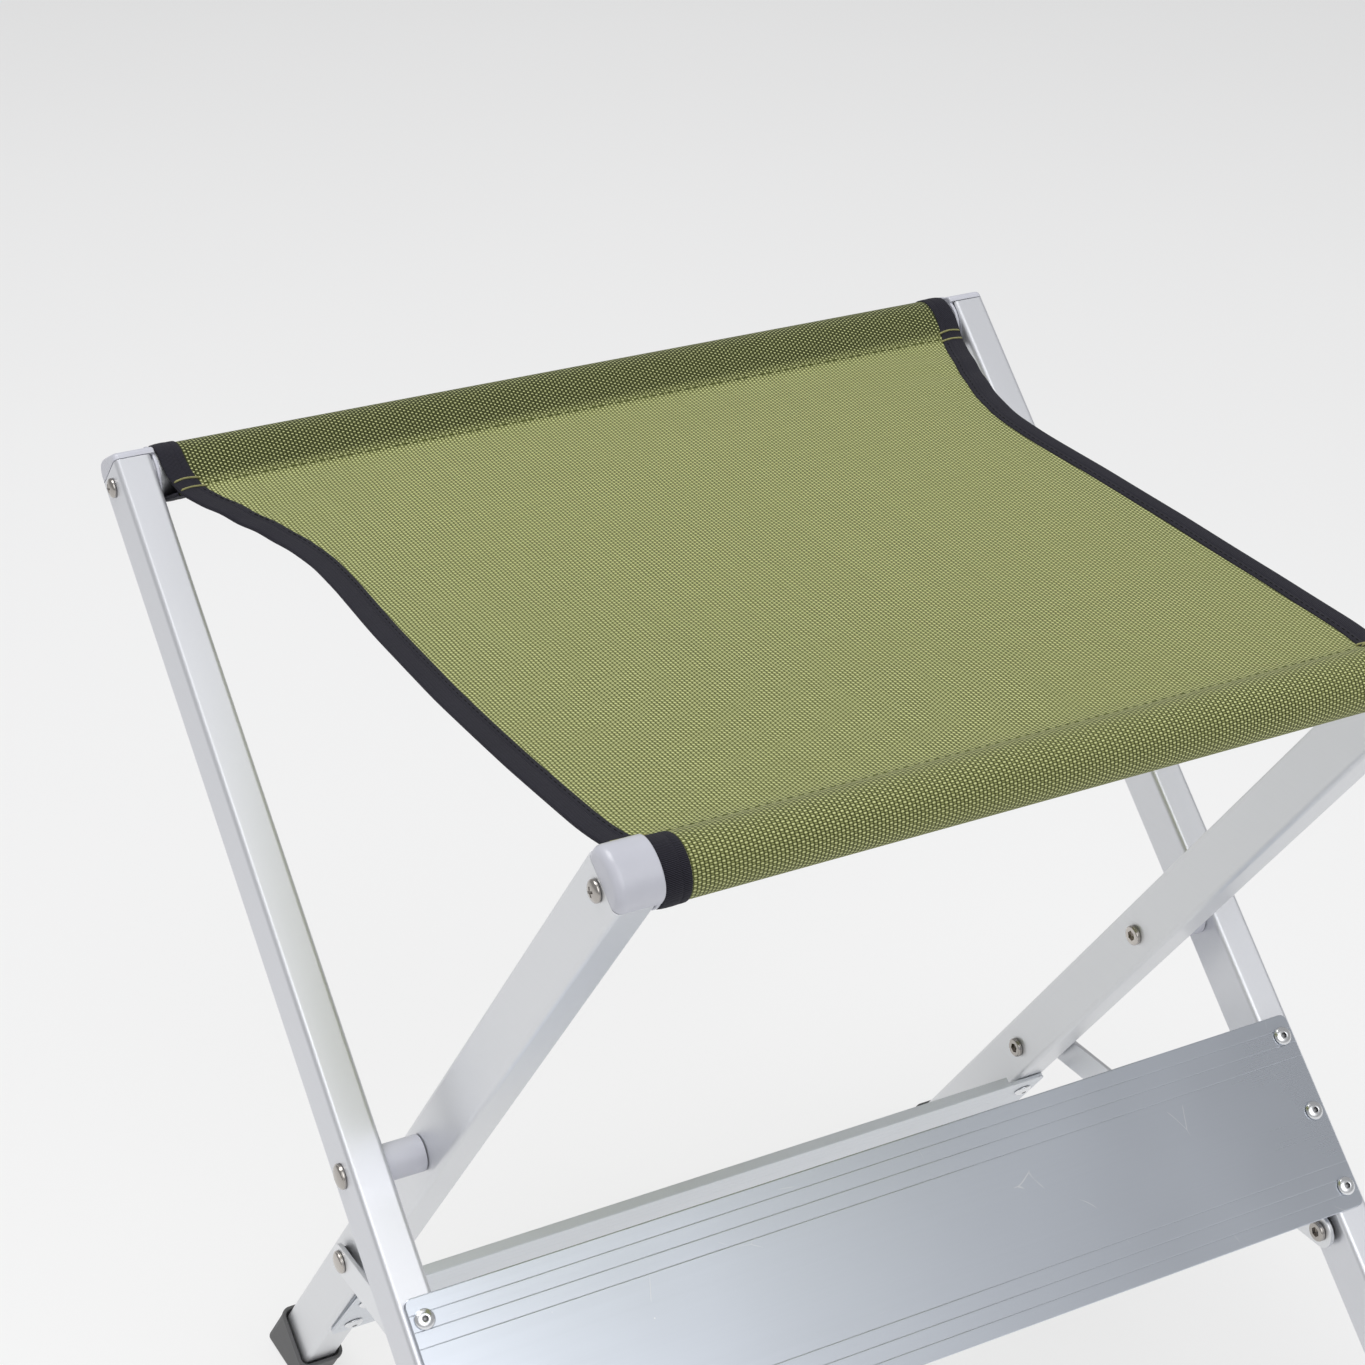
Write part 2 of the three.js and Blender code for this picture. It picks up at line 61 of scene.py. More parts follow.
# ------------------------------------------------------------------ dimensions (mm, as in the frame)
PY, PZ = 12.788, 229.0
AL, BE = math.radians(47.8), math.radians(35.87)
DA = (math.sin(AL), math.cos(AL)); NA = (-DA[1], DA[0])
DB = (-math.sin(BE), math.cos(BE)); NB = (-DB[1], DB[0])
TUBE_T, TUBE_D, WALL, TUBE_R = 16.5, 25.0, 1.5, 2.4
OX0, IX0 = 203.5, 169.0
OX1, IX1 = OX0 + TUBE_T, IX0 + TUBE_T
O_TOP, O_BOT, I_TOP, I_BOT = 316.0, -316.0, 261.3, -264.0
O_RAIL, I_RAIL, O_SCREW, I_SCREW = 311.5, 258.3, 308.8, 255.8
RAIL_R, RAIL_WALL, GAP = 10.5, 1.4, 0.3
BULGE, FLANGE, BOOT_WALL = 11.2, 1.8, 2.5
O_RIM, I_RIM = -307.0, -254.8
PANEL_T = 2.0
F_TOP, F_BOT, F_HALF = -55.8, -146.1, 217.2
R_TOP, R_BOT, R_HALF = -149.6, -205.6, 184.4
LIP_HALF, LIP_DEPTH = 163.5, 5.0
GROOVES = (6.7, 13.4, 20.1)
F_RIV, F_RIVX = (-65.2, -100.7, -136.2), 211.2
R_RIV, R_RIVX = (-162.4, -192.6), 176.2
S_REAR, S_FRONT = -137.0, -149.8
STAY_W, STAY_T, X_REAR, X_MID, X_FAR = 16.0, 2.0, 187.5, 189.8, 199.0
SAG = 4.0


def local(frame_name):
    """Maps leg-local (x, s, o) to the row frame: s runs up the leg from the pivot, o towards its front face."""
    d, n = (DA, NA) if frame_name == "A" else (DB, NB)
    def to(p):
        p = np.asarray(p, float).reshape(-1, 3)
        return np.column_stack([p[:, 0], PY + d[0] * p[:, 1] + n[0] * p[:, 2], PZ + d[1] * p[:, 1] + n[1] * p[:, 2]])
    return to


def bar_local(start, end):
    """The same for a stay bar that runs from one pivot to the other: u along it, v across it."""
    a = math.atan2(end[1] - start[1], end[0] - start[0])
    c, s = math.cos(a), math.sin(a)
    def to(p):
        p = np.asarray(p, float).reshape(-1, 3)
        return np.column_stack([p[:, 0], PY + start[0] + c * p[:, 1] - s * p[:, 2], PZ + start[1] + s * p[:, 1] + c * p[:, 2]])
    return to


A, B = local("A"), local("B")
pA = (DA[0] * S_FRONT, DA[1] * S_FRONT)
pB = (DB[0] * S_REAR, DB[1] * S_REAR)
SPAN = math.hypot(pA[0] - pB[0], pA[1] - pB[1])
DIFF = S_REAR - S_FRONT
L_REAR, L_FRONT = (SPAN - DIFF) / 2, (SPAN + DIFF) / 2
REAR_BAR, FRONT_BAR = bar_local(pB, pA), bar_local(pA, pB)


# ------------------------------------------------------------------ mesh helpers
def mesh_of(verts, faces):
    """A bmesh from points in millimetres, with doubles merged and its faces turned outwards."""
    bm = bmesh.new()
    vs = [bm.verts.new(v) for v in np.asarray(verts, float)]
    for f in faces:
        try:
            bm.faces.new([vs[i] for i in f])
        except ValueError:
            pass
    bmesh.ops.remove_doubles(bm, verts=bm.verts, dist=1e-4)
    bmesh.ops.dissolve_degenerate(bm, edges=bm.edges, dist=1e-5)
    bmesh.ops.recalc_face_normals(bm, faces=bm.faces)
    return bm


def loft(rings, cap_start=True, cap_end=True, closed=False):
    """Quads between rings of equal length. The ends are filled unless the rings close on themselves."""
    rings = [np.asarray(r, float) for r in rings]
    n = len(rings[0])
    verts = np.concatenate(rings)
    faces = []
    k = len(rings)
    for i in range(k if closed else k - 1):
        a, b = i * n, ((i + 1) % k) * n
        for j in range(n):
            faces.append((a + j, a + (j + 1) % n, b + (j + 1) % n, b + j))
    if not closed:
        if cap_start:
            faces.append(tuple(range(n)))
        if cap_end:
            faces.append(tuple(range((k - 1) * n, k * n)))
    return verts, faces


def rrect(w, h, r, cx=0.0, cy=0.0, n=6):
    out = []
    for x, y, a in ((w / 2 - r, h / 2 - r, 0), (-w / 2 + r, h / 2 - r, 90), (-w / 2 + r, -h / 2 + r, 180), (w / 2 - r, -h / 2 + r, 270)):
        for i in range(n + 1):
            t = math.radians(a + 90 * i / n)
            out.append((cx + x + r * math.cos(t), cy + y + r * math.sin(t)))
    return np.array(out)


def turned(profile, s=0.0, o=0.0, n=48, sign=1):
    """A turned piece on an axis along X. The profile is (x, radius), from axis to axis or closed on itself."""
    prof = [(x, r) for x, r in profile]
    t = np.arange(n) * 2 * math.pi / n
    rings = [np.column_stack([np.full(n, x), s + max(r, 1e-6) * np.cos(t), o + max(r, 1e-6) * np.sin(t)]) for x, r in prof]
    closed = prof[0] == prof[-1]
    if closed:
        rings = rings[:-1]
    return loft(rings, closed=closed, cap_start=prof[0][1] > 1e-5, cap_end=prof[-1][1] > 1e-5)


def rounded_profile(pts, r=0.25, n=3):
    """Rounds the corners of a (x, radius) profile that starts and ends on the axis."""
    pts = [np.array(p, float) for p in pts]
    out = [tuple(pts[0])]
    for a, b, c in zip(pts[:-2], pts[1:-1], pts[2:]):
        la, lc = np.linalg.norm(a - b), np.linalg.norm(c - b)
        k = min(r, la * 0.45, lc * 0.45)
        p, q = b + (a - b) / la * k, b + (c - b) / lc * k
        for i in range(n + 1):
            t = i / n
            out.append(tuple((1 - t) ** 2 * p + 2 * t * (1 - t) * b + t * t * q))
    out.append(tuple(pts[-1]))
    return out


def boolean(bm, cutters, op="DIFFERENCE"):
    """Cuts or joins with the exact solver and gives the result as a new bmesh, or the start if that fails."""
    def obj(b, name):
        me = bpy.data.meshes.new(name); b.to_mesh(me)
        o = bpy.data.objects.new(name, me); bpy.context.scene.collection.objects.link(o)
        return o
    base = obj(bm, "tmp_base")
    tools = []
    for i, c in enumerate(cutters):
        t = obj(c, f"tmp_tool_{i}"); tools.append(t)
        m = base.modifiers.new("b", "BOOLEAN"); m.operation = op; m.solver = "EXACT"; m.object = t
    dg = bpy.context.evaluated_depsgraph_get()
    out = bmesh.new(); out.from_mesh(base.evaluated_get(dg).to_mesh())
    ok = len(out.faces) > 0 and all(e.is_manifold for e in out.edges)
    for o in [base, *tools]:
        me = o.data; bpy.data.objects.remove(o); bpy.data.meshes.remove(me)
    if not ok:
        print("boolean left alone")
        return bm
    bm.free()
    return out


def flip_x(v):
    v = np.array(v, float); v[:, 0] *= -1
    return v


MATS = {}
BODY = {n: b for b, members in frame["record"]["behaviour"]["bodies"].items() for n in members}


def piece(name, bm, material, slot, replaces=(), body=None, angle=32, weighted=True, bevel=None, extra=()):
    """A finished piece from a bmesh in row-frame millimetres: shading, material, body and what it stands for. The slot
    argument is not used.
    """
    bmesh.ops.scale(bm, vec=(0.001,) * 3, verts=bm.verts)
    for f in bm.faces:
        f.smooth = True
    lim = math.radians(angle)
    for e in bm.edges:
        if len(e.link_faces) == 2:
            e.smooth = e.calc_face_angle(0) < lim
    me = bpy.data.meshes.new(name)
    bm.to_mesh(me); bm.free()
    o = bpy.data.objects.new(name, me)
    bpy.context.scene.collection.objects.link(o)
    for m in (material, *extra):
        me.materials.append(MATS[m])
    if bevel:
        m = o.modifiers.new("edge", "BEVEL"); m.width = bevel[0] / 1000; m.segments = bevel[1]; m.limit_method = "ANGLE"; m.angle_limit = math.radians(38)
        m.harden_normals = False; m.miter_outer = "MITER_ARC"
    if weighted:
        m = o.modifiers.new("normals", "WEIGHTED_NORMAL"); m.keep_sharp = True; m.weight = 80
    if replaces:
        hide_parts(*replaces)
    if body or replaces:
        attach(o, body or BODY[replaces[0]])
    return o


def pair(name, node, verts, faces, to, material, slot, post=None, **kw):
    """The right-hand piece and its mirror image."""
    for side in ("right", "left"):
        v = np.array(verts, float)
        if side == "left":
            v = flip_x(v)
        bm = mesh_of(to(v), faces)
        if post:
            bm = post(bm, side)
        piece(f"{name}_{side}", bm, material, slot, [f"{node}_{side}"], **kw)


# ------------------------------------------------------------------ materials
def rgb(r, g, b):
    def lin(c):
        c /= 255
        return c / 12.92 if c <= 0.04045 else ((c + 0.055) / 1.055) ** 2.4
    return (lin(r), lin(g), lin(b), 1.0)


class Nodes:
    def __init__(self, name):
        self.m = bpy.data.materials.new(name); self.m.use_nodes = True
        self.t = self.m.node_tree; self.t.nodes.clear()
        self.out = self.t.nodes.new("ShaderNodeOutputMaterial")
        self.p = self.t.nodes.new("ShaderNodeBsdfPrincipled")
        self.t.links.new(self.p.outputs[0], self.out.inputs[0])
        MATS[name] = self.m
    def new(self, kind, **kw):
        n = self.t.nodes.new("ShaderNode" + kind)
        for k, v in kw.items():
            if k in ("op", "operation"):
                n.operation = v
            else:
                setattr(n, k, v)
        return n
    def link(self, a, b):
        self.t.links.new(a, b)
    def math(self, op, a, b=None, c=None, clamp=False):
        n = self.new("Math", op=op); n.use_clamp = clamp
        for i, x in enumerate((a, b, c)):
            if x is None:
                continue
            if isinstance(x, (int, float)):
                n.inputs[i].default_value = x
            else:
                self.link(x, n.inputs[i])
        return n.outputs[0]
    def noise(self, vector, scale, detail=3.0, rough=0.5, dist=0.0):
        n = self.new("TexNoise"); n.inputs["Scale"].default_value = scale
        n.inputs["Detail"].default_value = detail; n.inputs["Roughness"].default_value = rough
        n.inputs["Distortion"].default_value = dist
        self.link(vector, n.inputs["Vector"])
        return n.outputs["Fac"]
    def scaled(self, vector, s, rot=(0, 0, 0)):
        n = self.new("Mapping"); n.inputs["Scale"].default_value = s; n.inputs["Rotation"].default_value = rot
        self.link(vector, n.inputs["Vector"])
        return n.outputs[0]
    def ramp(self, fac, stops, interp="LINEAR"):
        n = self.new("ValToRGB"); n.color_ramp.interpolation = interp
        e = n.color_ramp.elements
        while len(e) > len(stops):
            e.remove(e[-1])
        while len(e) < len(stops):
            e.new(0.5)
        for x, (p, c) in zip(e, stops):
            x.position = p; x.color = c if len(c) == 4 else (*c, 1)
        self.link(fac, n.inputs[0])
        return n.outputs[0]
    def mix(self, fac, a, b, blend="MIX"):
        n = self.new("Mix", data_type="RGBA", blend_type=blend)
        for i, x in ((0, fac), (6, a), (7, b)):
            if isinstance(x, (int, float)):
                n.inputs[i].default_value = x
            elif isinstance(x, tuple):
                n.inputs[i].default_value = x
            else:
                self.link(x, n.inputs[i])
        return n.outputs[2]
    def range(self, x, a, b, c, d):
        n = self.new("MapRange"); n.clamp = True
        self.link(x, n.inputs[0])
        for i, v in zip((1, 2, 3, 4), (a, b, c, d)):
            n.inputs[i].default_value = v
        return n.outputs[0]
    def bump(self, height, distance, strength=1.0, normal=None):
        n = self.new("Bump"); n.inputs["Distance"].default_value = distance; n.inputs["Strength"].default_value = strength
        self.link(height, n.inputs["Height"])
        if normal is not None:
            self.link(normal, n.inputs["Normal"])
        return n.outputs[0]
    def coords(self, kind="Object"):
        return self.new("TexCoord").outputs[kind]
    def set(self, name, value):
        self.p.inputs[name].default_value = value


def metal(name, base, rough, line_scale=None, rot=(0, 0, 0), line=0.05, bump=0.00002, aniso=0.0, tangent=None, blotch=0.04, scratch=0.0, dust=0.0, met=1.0):
    """Aluminium or steel: fine lines along one direction, soft blotches, small scratches and specks."""
    n = Nodes(name)
    c = n.coords()
    n.set("Metallic", met)
    if aniso:
        # highlights spread across the drawing lines: the tangent is fixed to the piece, so it turns with it
        n.set("Anisotropic", aniso)
        tv = n.new("CombineXYZ")
        for i in range(3):
            tv.inputs[i].default_value = tangent[i]
        vt = n.new("VectorTransform"); vt.vector_type = "VECTOR"; vt.convert_from = "OBJECT"; vt.convert_to = "WORLD"
        n.link(tv.outputs[0], vt.inputs[0]); n.link(vt.outputs[0], n.p.inputs["Tangent"])
    soft = n.noise(c, 12.0, 2.0, 0.5)
    fine = n.noise(c, 900.0, 2.0, 0.6)
    dark = tuple(x * (1 - blotch * 2) for x in base[:3]) + (1.0,)
    lite = tuple(min(1.0, x * (1 + blotch)) for x in base[:3]) + (1.0,)
    col = n.mix(n.range(soft, 0.35, 0.65, 0.0, 1.0), dark, lite)
    height = fine
    ro = n.range(soft, 0.3, 0.7, rough - 0.03, rough + 0.04)
    if line_scale:
        lines = n.noise(n.scaled(c, line_scale, rot), 1.0, 5.0, 0.62)
        col = n.mix(n.range(lines, 0.3, 0.75, 0.0, line * 6), col, tuple(x * 0.80 for x in base[:3]) + (1.0,))
        ro = n.math("ADD", ro, n.range(lines, 0.3, 0.7, -line, line))
        height = n.math("ADD", n.math("MULTIPLY", lines, 1.0), n.math("MULTIPLY", fine, 0.25))
    if scratch:
        w = n.new("TexVoronoi"); w.feature = "DISTANCE_TO_EDGE"; w.inputs["Scale"].default_value = 21.0
        wob = n.new("TexNoise"); wob.inputs["Scale"].default_value = 9.0
        add = n.new("VectorMath", op="ADD"); n.link(c, wob.inputs["Vector"]); n.link(c, add.inputs[0])
        sc = n.new("VectorMath", op="SCALE"); sc.inputs[3].default_value = 0.12; n.link(wob.outputs["Color"], sc.inputs[0]); n.link(sc.outputs[0], add.inputs[1])
        n.link(add.outputs[0], w.inputs["Vector"])
        edge = n.range(w.outputs["Distance"], 0.0, 0.006, 1.0, 0.0)
        where = n.range(n.noise(c, 42.0, 2.0, 0.5), 0.63, 0.68, 0.0, 1.0)
        mark = n.math("MULTIPLY", edge, where)
        col = n.mix(n.math("MULTIPLY", mark, scratch), col, (0.93, 0.94, 0.97, 1.0))
        ro = n.math("ADD", ro, n.math("MULTIPLY", mark, 0.12))
    if dust:
        v = n.new("TexVoronoi"); v.inputs["Scale"].default_value = 150.0; n.link(c, v.inputs["Vector"])
        spot = n.range(v.outputs["Distance"], 0.03, 0.06, 1.0, 0.0)
        vc = n.new("SeparateColor"); n.link(v.outputs["Color"], vc.inputs[0])
        rare = n.math("MULTIPLY", n.range(vc.outputs[0], 0.90, 0.93, 0.0, 1.0), n.range(n.noise(c, 14.0, 2.0, 0.5), 0.50, 0.62, 0.0, 1.0))
        col = n.mix(n.math("MULTIPLY", n.math("MULTIPLY", spot, rare), dust), col, (0.95, 0.95, 0.96, 1.0))
    n.link(col, n.p.inputs["Base Color"])
    n.link(n.math("MAXIMUM", ro, 0.08), n.p.inputs["Roughness"])
    n.link(n.bump(height, bump), n.p.inputs["Normal"])
    return n


# fine drawing lines run along each tube, the planks' along X
metal("aluminium_outer", (0.765, 0.775, 0.81, 1), 0.36, (700, 14, 700), (-(math.pi / 2 - AL), 0, 0), 0.008, 0.000004, 0.75, (1.0, 0.2 * NA[0], 0.2 * NA[1]), blotch=0.008, met=0.8)
# painted shade: the inner frame's aluminium is a darker, less metallic copy of the outer frame's, standing in for the
# shade the seat and the other legs cast on it
metal("aluminium_inner_shaded", (0.735, 0.745, 0.765, 1), 0.36, (700, 14, 700), (-(math.pi / 2 + BE), 0, 0), 0.008, 0.000004, 0.75, (1.0, 0.2 * NB[0], 0.2 * NB[1]), blotch=0.008, met=0.7)
metal("aluminium_rail", (0.78, 0.79, 0.81, 1), 0.38, (8, 500, 500), (0, 0, 0), 0.01, 0.000006, blotch=0.01)
metal("aluminium_bar", (0.79, 0.80, 0.82, 1), 0.38, (60, 60, 60), (0, 0, 0), 0.01, 0.000006, blotch=0.015)
metal("aluminium_plank", (0.68, 0.72, 0.79, 1), 0.30, (5, 900, 900), (0, 0, 0), 0.012, 0.000006, 0.75, (0.0, DA[0], DA[1]), blotch=0.012, scratch=0.85, dust=0.9)
metal("aluminium_plank_rear", (0.74, 0.765, 0.80, 1), 0.5, (5, 900, 900), (0, 0, 0), 0.01, 0.000006, 0.5, (0.0, DB[0], DB[1]), blotch=0.012, scratch=0.2, dust=0.3, met=0.5)
metal("rivet_metal", (0.86, 0.87, 0.89, 1), 0.26, None, bump=0.00002, blotch=0.05)
metal("mandrel_metal", (0.30, 0.30, 0.31, 1), 0.45, None, bump=0.00003, blotch=0.15)
metal("nickel", (0.50, 0.47, 0.44, 1), 0.20, None, bump=0.00002, blotch=0.12)


def plastic(name, base, rough, coat=0.0, grain=0.00002, grain_scale=1600.0, spec=0.5, var=0.03):
    n = Nodes(name); c = n.coords()
    soft = n.noise(c, 60.0, 3.0, 0.5)
    col = n.mix(n.range(soft, 0.35, 0.65, 0.0, 1.0), tuple(x * (1 - var) for x in base[:3]) + (1,), tuple(min(1, x * (1 + var)) for x in base[:3]) + (1,))
    n.link(col, n.p.inputs["Base Color"])
    n.link(n.range(soft, 0.3, 0.7, rough - 0.03, rough + 0.03), n.p.inputs["Roughness"])
    n.set("Specular IOR Level", spec)
    if coat:
        n.set("Coat Weight", coat); n.set("Coat Roughness", 0.12)
    n.link(n.bump(n.noise(c, grain_scale, 2.0, 0.6), grain), n.p.inputs["Normal"])
    return n


plastic("cap_plastic", rgb(198, 199, 208), 0.30, coat=0.15, grain=0.00001)
plastic("spacer_plastic", rgb(198, 199, 208), 0.5, grain=0.00003, grain_scale=900.0)
plastic("washer_nylon", rgb(38, 38, 41), 0.55)
n = plastic("boot_rubber", rgb(92, 92, 93), 0.62, grain=0.00005, grain_scale=1100.0, var=0.07)


def cloth(name, lite, mid, dark, a, b, depth, fuzz, sheen, twill=False, band=None, sleeve_shade_zones=()):
    """A woven cloth on a UV map in millimetres: u across the cloth, v along it, yarn spacing a by b."""
    n = Nodes(name)
    uv = n.new("UVMap"); uv.uv_map = "cloth"
    sep = n.new("SeparateXYZ"); n.link(uv.outputs[0], sep.inputs[0])
    wob = n.new("TexNoise"); wob.inputs["Scale"].default_value = 55.0; wob.inputs["Detail"].default_value = 2.0; n.link(uv.outputs[0], wob.inputs["Vector"])
    ws = n.new("SeparateColor"); n.link(wob.outputs["Color"], ws.inputs[0])
    # UVs are in metres, so that the noise above has a natural scale
    u = n.math("ADD", n.math("DIVIDE", sep.outputs[0], a / 1000), n.math("MULTIPLY", n.math("SUBTRACT", ws.outputs[0], 0.5), 0.9))
    v = n.math("ADD", n.math("DIVIDE", sep.outputs[1], b / 1000), n.math("MULTIPLY", n.math("SUBTRACT", ws.outputs[1], 0.5), 0.9))
    if twill:
        t = n.math("FRACT", n.math("ADD", u, v))
        h = n.math("SINE", n.math("MULTIPLY", t, math.pi))
        cross = n.math("ABSOLUTE", n.math("SINE", n.math("MULTIPLY", v, math.pi)))
        h = n.math("ADD", n.math("MULTIPLY", h, 0.75), n.math("MULTIPLY", cross, 0.25))
    else:
        fu, fv = n.math("FRACT", u), n.math("FRACT", v)
        su = n.math("SINE", n.math("MULTIPLY", fu, math.pi))
        sv = n.math("SINE", n.math("MULTIPLY", fv, math.pi))
        iu, iv = n.math("FLOOR", u), n.math("FLOOR", v)
        par = n.math("ABSOLUTE", n.math("FRACT", n.math("MULTIPLY", n.math("ADD", iu, iv), 0.5)))
        par = n.math("GREATER_THAN", par, 0.25)
        # a yarn along X crowns the even cells and a yarn along Y the odd ones
        ha = n.math("MULTIPLY", n.math("POWER", n.math("MAXIMUM", su, 0.0), 0.7), n.math("POWER", n.math("MAXIMUM", sv, 0.0), 0.5))
        hb = n.math("MULTIPLY", n.math("MULTIPLY", n.math("POWER", n.math("MAXIMUM", sv, 0.0), 0.8), n.math("POWER", n.math("MAXIMUM", su, 0.0), 0.55)), 0.55)
        h = n.math("ADD", n.math("MULTIPLY", ha, n.math("SUBTRACT", 1.0, par)), n.math("MULTIPLY", hb, par))
    hair = n.noise(n.scaled(uv.outputs[0], (1, 3, 1)), 2600.0, 3.0, 0.6)
    slub = n.noise(n.scaled(uv.outputs[0], (2, 160, 1)), 3.0, 2.0, 0.5)
    slub2 = n.noise(n.scaled(uv.outputs[0], (110, 2, 1)), 3.0, 2.0, 0.5)
    hh = n.math("ADD", n.math("MULTIPLY", h, 0.86), n.math("MULTIPLY", hair, 0.14))
    col = n.ramp(hh, [(0.20, dark), (0.46, mid), (0.82, lite)])
    tone = n.range(n.math("ADD", slub, slub2), 0.75, 1.25, 0.965, 1.035)
    tn = n.new("CombineColor"); [n.link(tone, tn.inputs[i]) for i in range(3)]
    col = n.mix(1.0, col, tn.outputs[0], "MULTIPLY")
    blot = n.noise(uv.outputs[0], 14.0, 3.0, 0.5)
    col = n.mix(n.range(blot, 0.35, 0.65, 0.0, 0.16), col, tuple(x * 0.86 for x in mid[:3]) + (1,))
    if sleeve_shade_zones:
        # painted shade: over the rails the cloth's low tones between the yarn crowns are darkened, standing in for the
        # shade on the sleeves' sides
        for v0, v1, k in sleeve_shade_zones:
            inside = n.math("MULTIPLY", n.range(sep.outputs[1], v0 / 1000 - 0.004, v0 / 1000 + 0.004, 0.0, 1.0), n.range(sep.outputs[1], v1 / 1000 - 0.004, v1 / 1000 + 0.004, 1.0, 0.0))
            low = n.range(hh, 0.25, 0.80, 1.0, 0.25)
            col = n.mix(n.math("MULTIPLY", n.math("MULTIPLY", inside, low), k), col, tuple(x * 0.9 for x in dark[:3]) + (1,))
    if band:
        # UV x also says how far in from the tape's outer fold a point is
        d = n.range(sep.outputs[0], band[0] / 1000, band[1] / 1000, 0.0, 1.0)
        col = n.mix(n.math("MULTIPLY", d, band[2]), col, tuple(x * 0.25 for x in dark[:3]) + (1,))
    n.link(col, n.p.inputs["Base Color"])
    n.set("Roughness", 0.88)
    n.set("Specular IOR Level", 0.25)
    n.set("Sheen Weight", sheen); n.set("Sheen Roughness", 0.45)
    n.link(n.bump(hh, depth / 1000, 1.0), n.p.inputs["Normal"])
    return n


cloth("tape_twill", rgb(50, 49, 60), rgb(15, 14, 19), rgb(3, 3, 4), 1.25, 0.75, 0.2, 0.2, 0.05, twill=True)
plastic("thread_olive", rgb(84, 90, 44), 0.8, grain=0.00005, grain_scale=3000.0, var=0.15, spec=0.2)
plastic("thread_khaki", rgb(146, 144, 98), 0.8, grain=0.00005, grain_scale=3000.0, var=0.15, spec=0.2)
plastic("thread_black", rgb(20, 20, 23), 0.8, grain=0.00005, grain_scale=3000.0, var=0.2, spec=0.2)


# ------------------------------------------------------------------ legs
def bm_cyl(r, x0, x1, s, o, to, n=32, sgn=1):
    v, f = turned([(x0, 0), (x0, r), (x1, r), (x1, 0)], s, o, n)
    v = np.array(v); v[:, 0] *= sgn
    return mesh_of(to(v), f)


def leg(x0, bottom, top):
    cx = x0 + TUBE_T / 2
    def ring(s, inset, inner=False):
        if inner:
            q = rrect(TUBE_T - 2 * WALL + 2 * inset, TUBE_D - 2 * WALL + 2 * inset, TUBE_R - WALL + 0.4 + inset, cx, 0)
        else:
            q = rrect(TUBE_T - 2 * inset, TUBE_D - 2 * inset, TUBE_R - inset, cx, 0)
        return np.column_stack([q[:, 0], np.full(len(q), s), q[:, 1]])
    e = 0.28
    return loft([ring(bottom + e, 0), ring(top - e, 0), ring(top - 0.08, 0.08), ring(top, e), ring(top, 0.2, True), ring(top - 0.2, 0, True),
                 ring(bottom + 0.2, 0, True), ring(bottom, 0.2, True), ring(bottom, e), ring(bottom + 0.08, 0.08)], closed=True)


def leg_cuts(x0, top, rail_s, screw_s, bolt_s, rivets, rivet_x, to):
    def post(bm, side):
        sg = 1 if side == "right" else -1
        cuts = [bm_cyl(11.4, x0 - 1, x0 + WALL + 0.3, rail_s, 0, to, 40, sg),
                bm_cyl(3.3, x0 - 1, x0 + TUBE_T + 1, 0, 0, to, 28, sg), bm_cyl(3.0, x0 - 1, x0 + TUBE_T + 1, bolt_s, 0, to, 28, sg),
                bm_cyl(1.9, x0 + TUBE_T - 3, x0 + TUBE_T + 1, screw_s, 0, to, 20, sg)]
        v, f = loft([[(x, rail_s, -11.4), (x, top + 1, -11.4), (x, top + 1, 11.4), (x, rail_s, 11.4)] for x in (sg * (x0 - 1), sg * (x0 + WALL + 0.3))])
        cuts.append(mesh_of(to(v), f))
        for r in rivets:
            t = np.arange(20) * 2 * math.pi / 20
            v, f = loft([np.column_stack([sg * rivet_x + 2.3 * np.cos(t), r + 2.3 * np.sin(t), np.full(20, o)]) for o in (TUBE_D / 2 - 3, TUBE_D / 2 + 1)])
            cuts.append(mesh_of(to(v), f))
        return boolean(bm, cuts)
    return post


v, f = leg(OX0, O_BOT, O_TOP)
pair("outer_leg_tube", "outer_leg", v, f, A, "aluminium_outer", "frame_aluminium", post=leg_cuts(OX0, O_TOP, O_RAIL, O_SCREW, S_FRONT, F_RIV, F_RIVX, A))
v, f = leg(IX0, I_BOT, I_TOP)
pair("inner_leg_tube", "inner_leg", v, f, B, "aluminium_inner_shaded", "frame_aluminium", post=leg_cuts(IX0, I_TOP, I_RAIL, I_SCREW, S_REAR, R_RIV, R_RIVX, B))

# ------------------------------------------------------------------ rails
for nm, node, half, s, to in (("rear_rail_tube", "rear_rail", OX0 + 8.5, O_RAIL, A), ("front_rail_tube", "front_rail", IX0 + 8.5, I_RAIL, B)):
    prof = [(-half + 0.3, RAIL_R), (half - 0.3, RAIL_R), (half, RAIL_R - 0.3), (half, RAIL_R - RAIL_WALL), (-half, RAIL_R - RAIL_WALL), (-half, RAIL_R - 0.3), (-half + 0.3, RAIL_R)]
    v, f = turned(prof, s, 0, 64)
    piece(nm, mesh_of(to(v), f), "aluminium_rail", "frame_aluminium", [node])


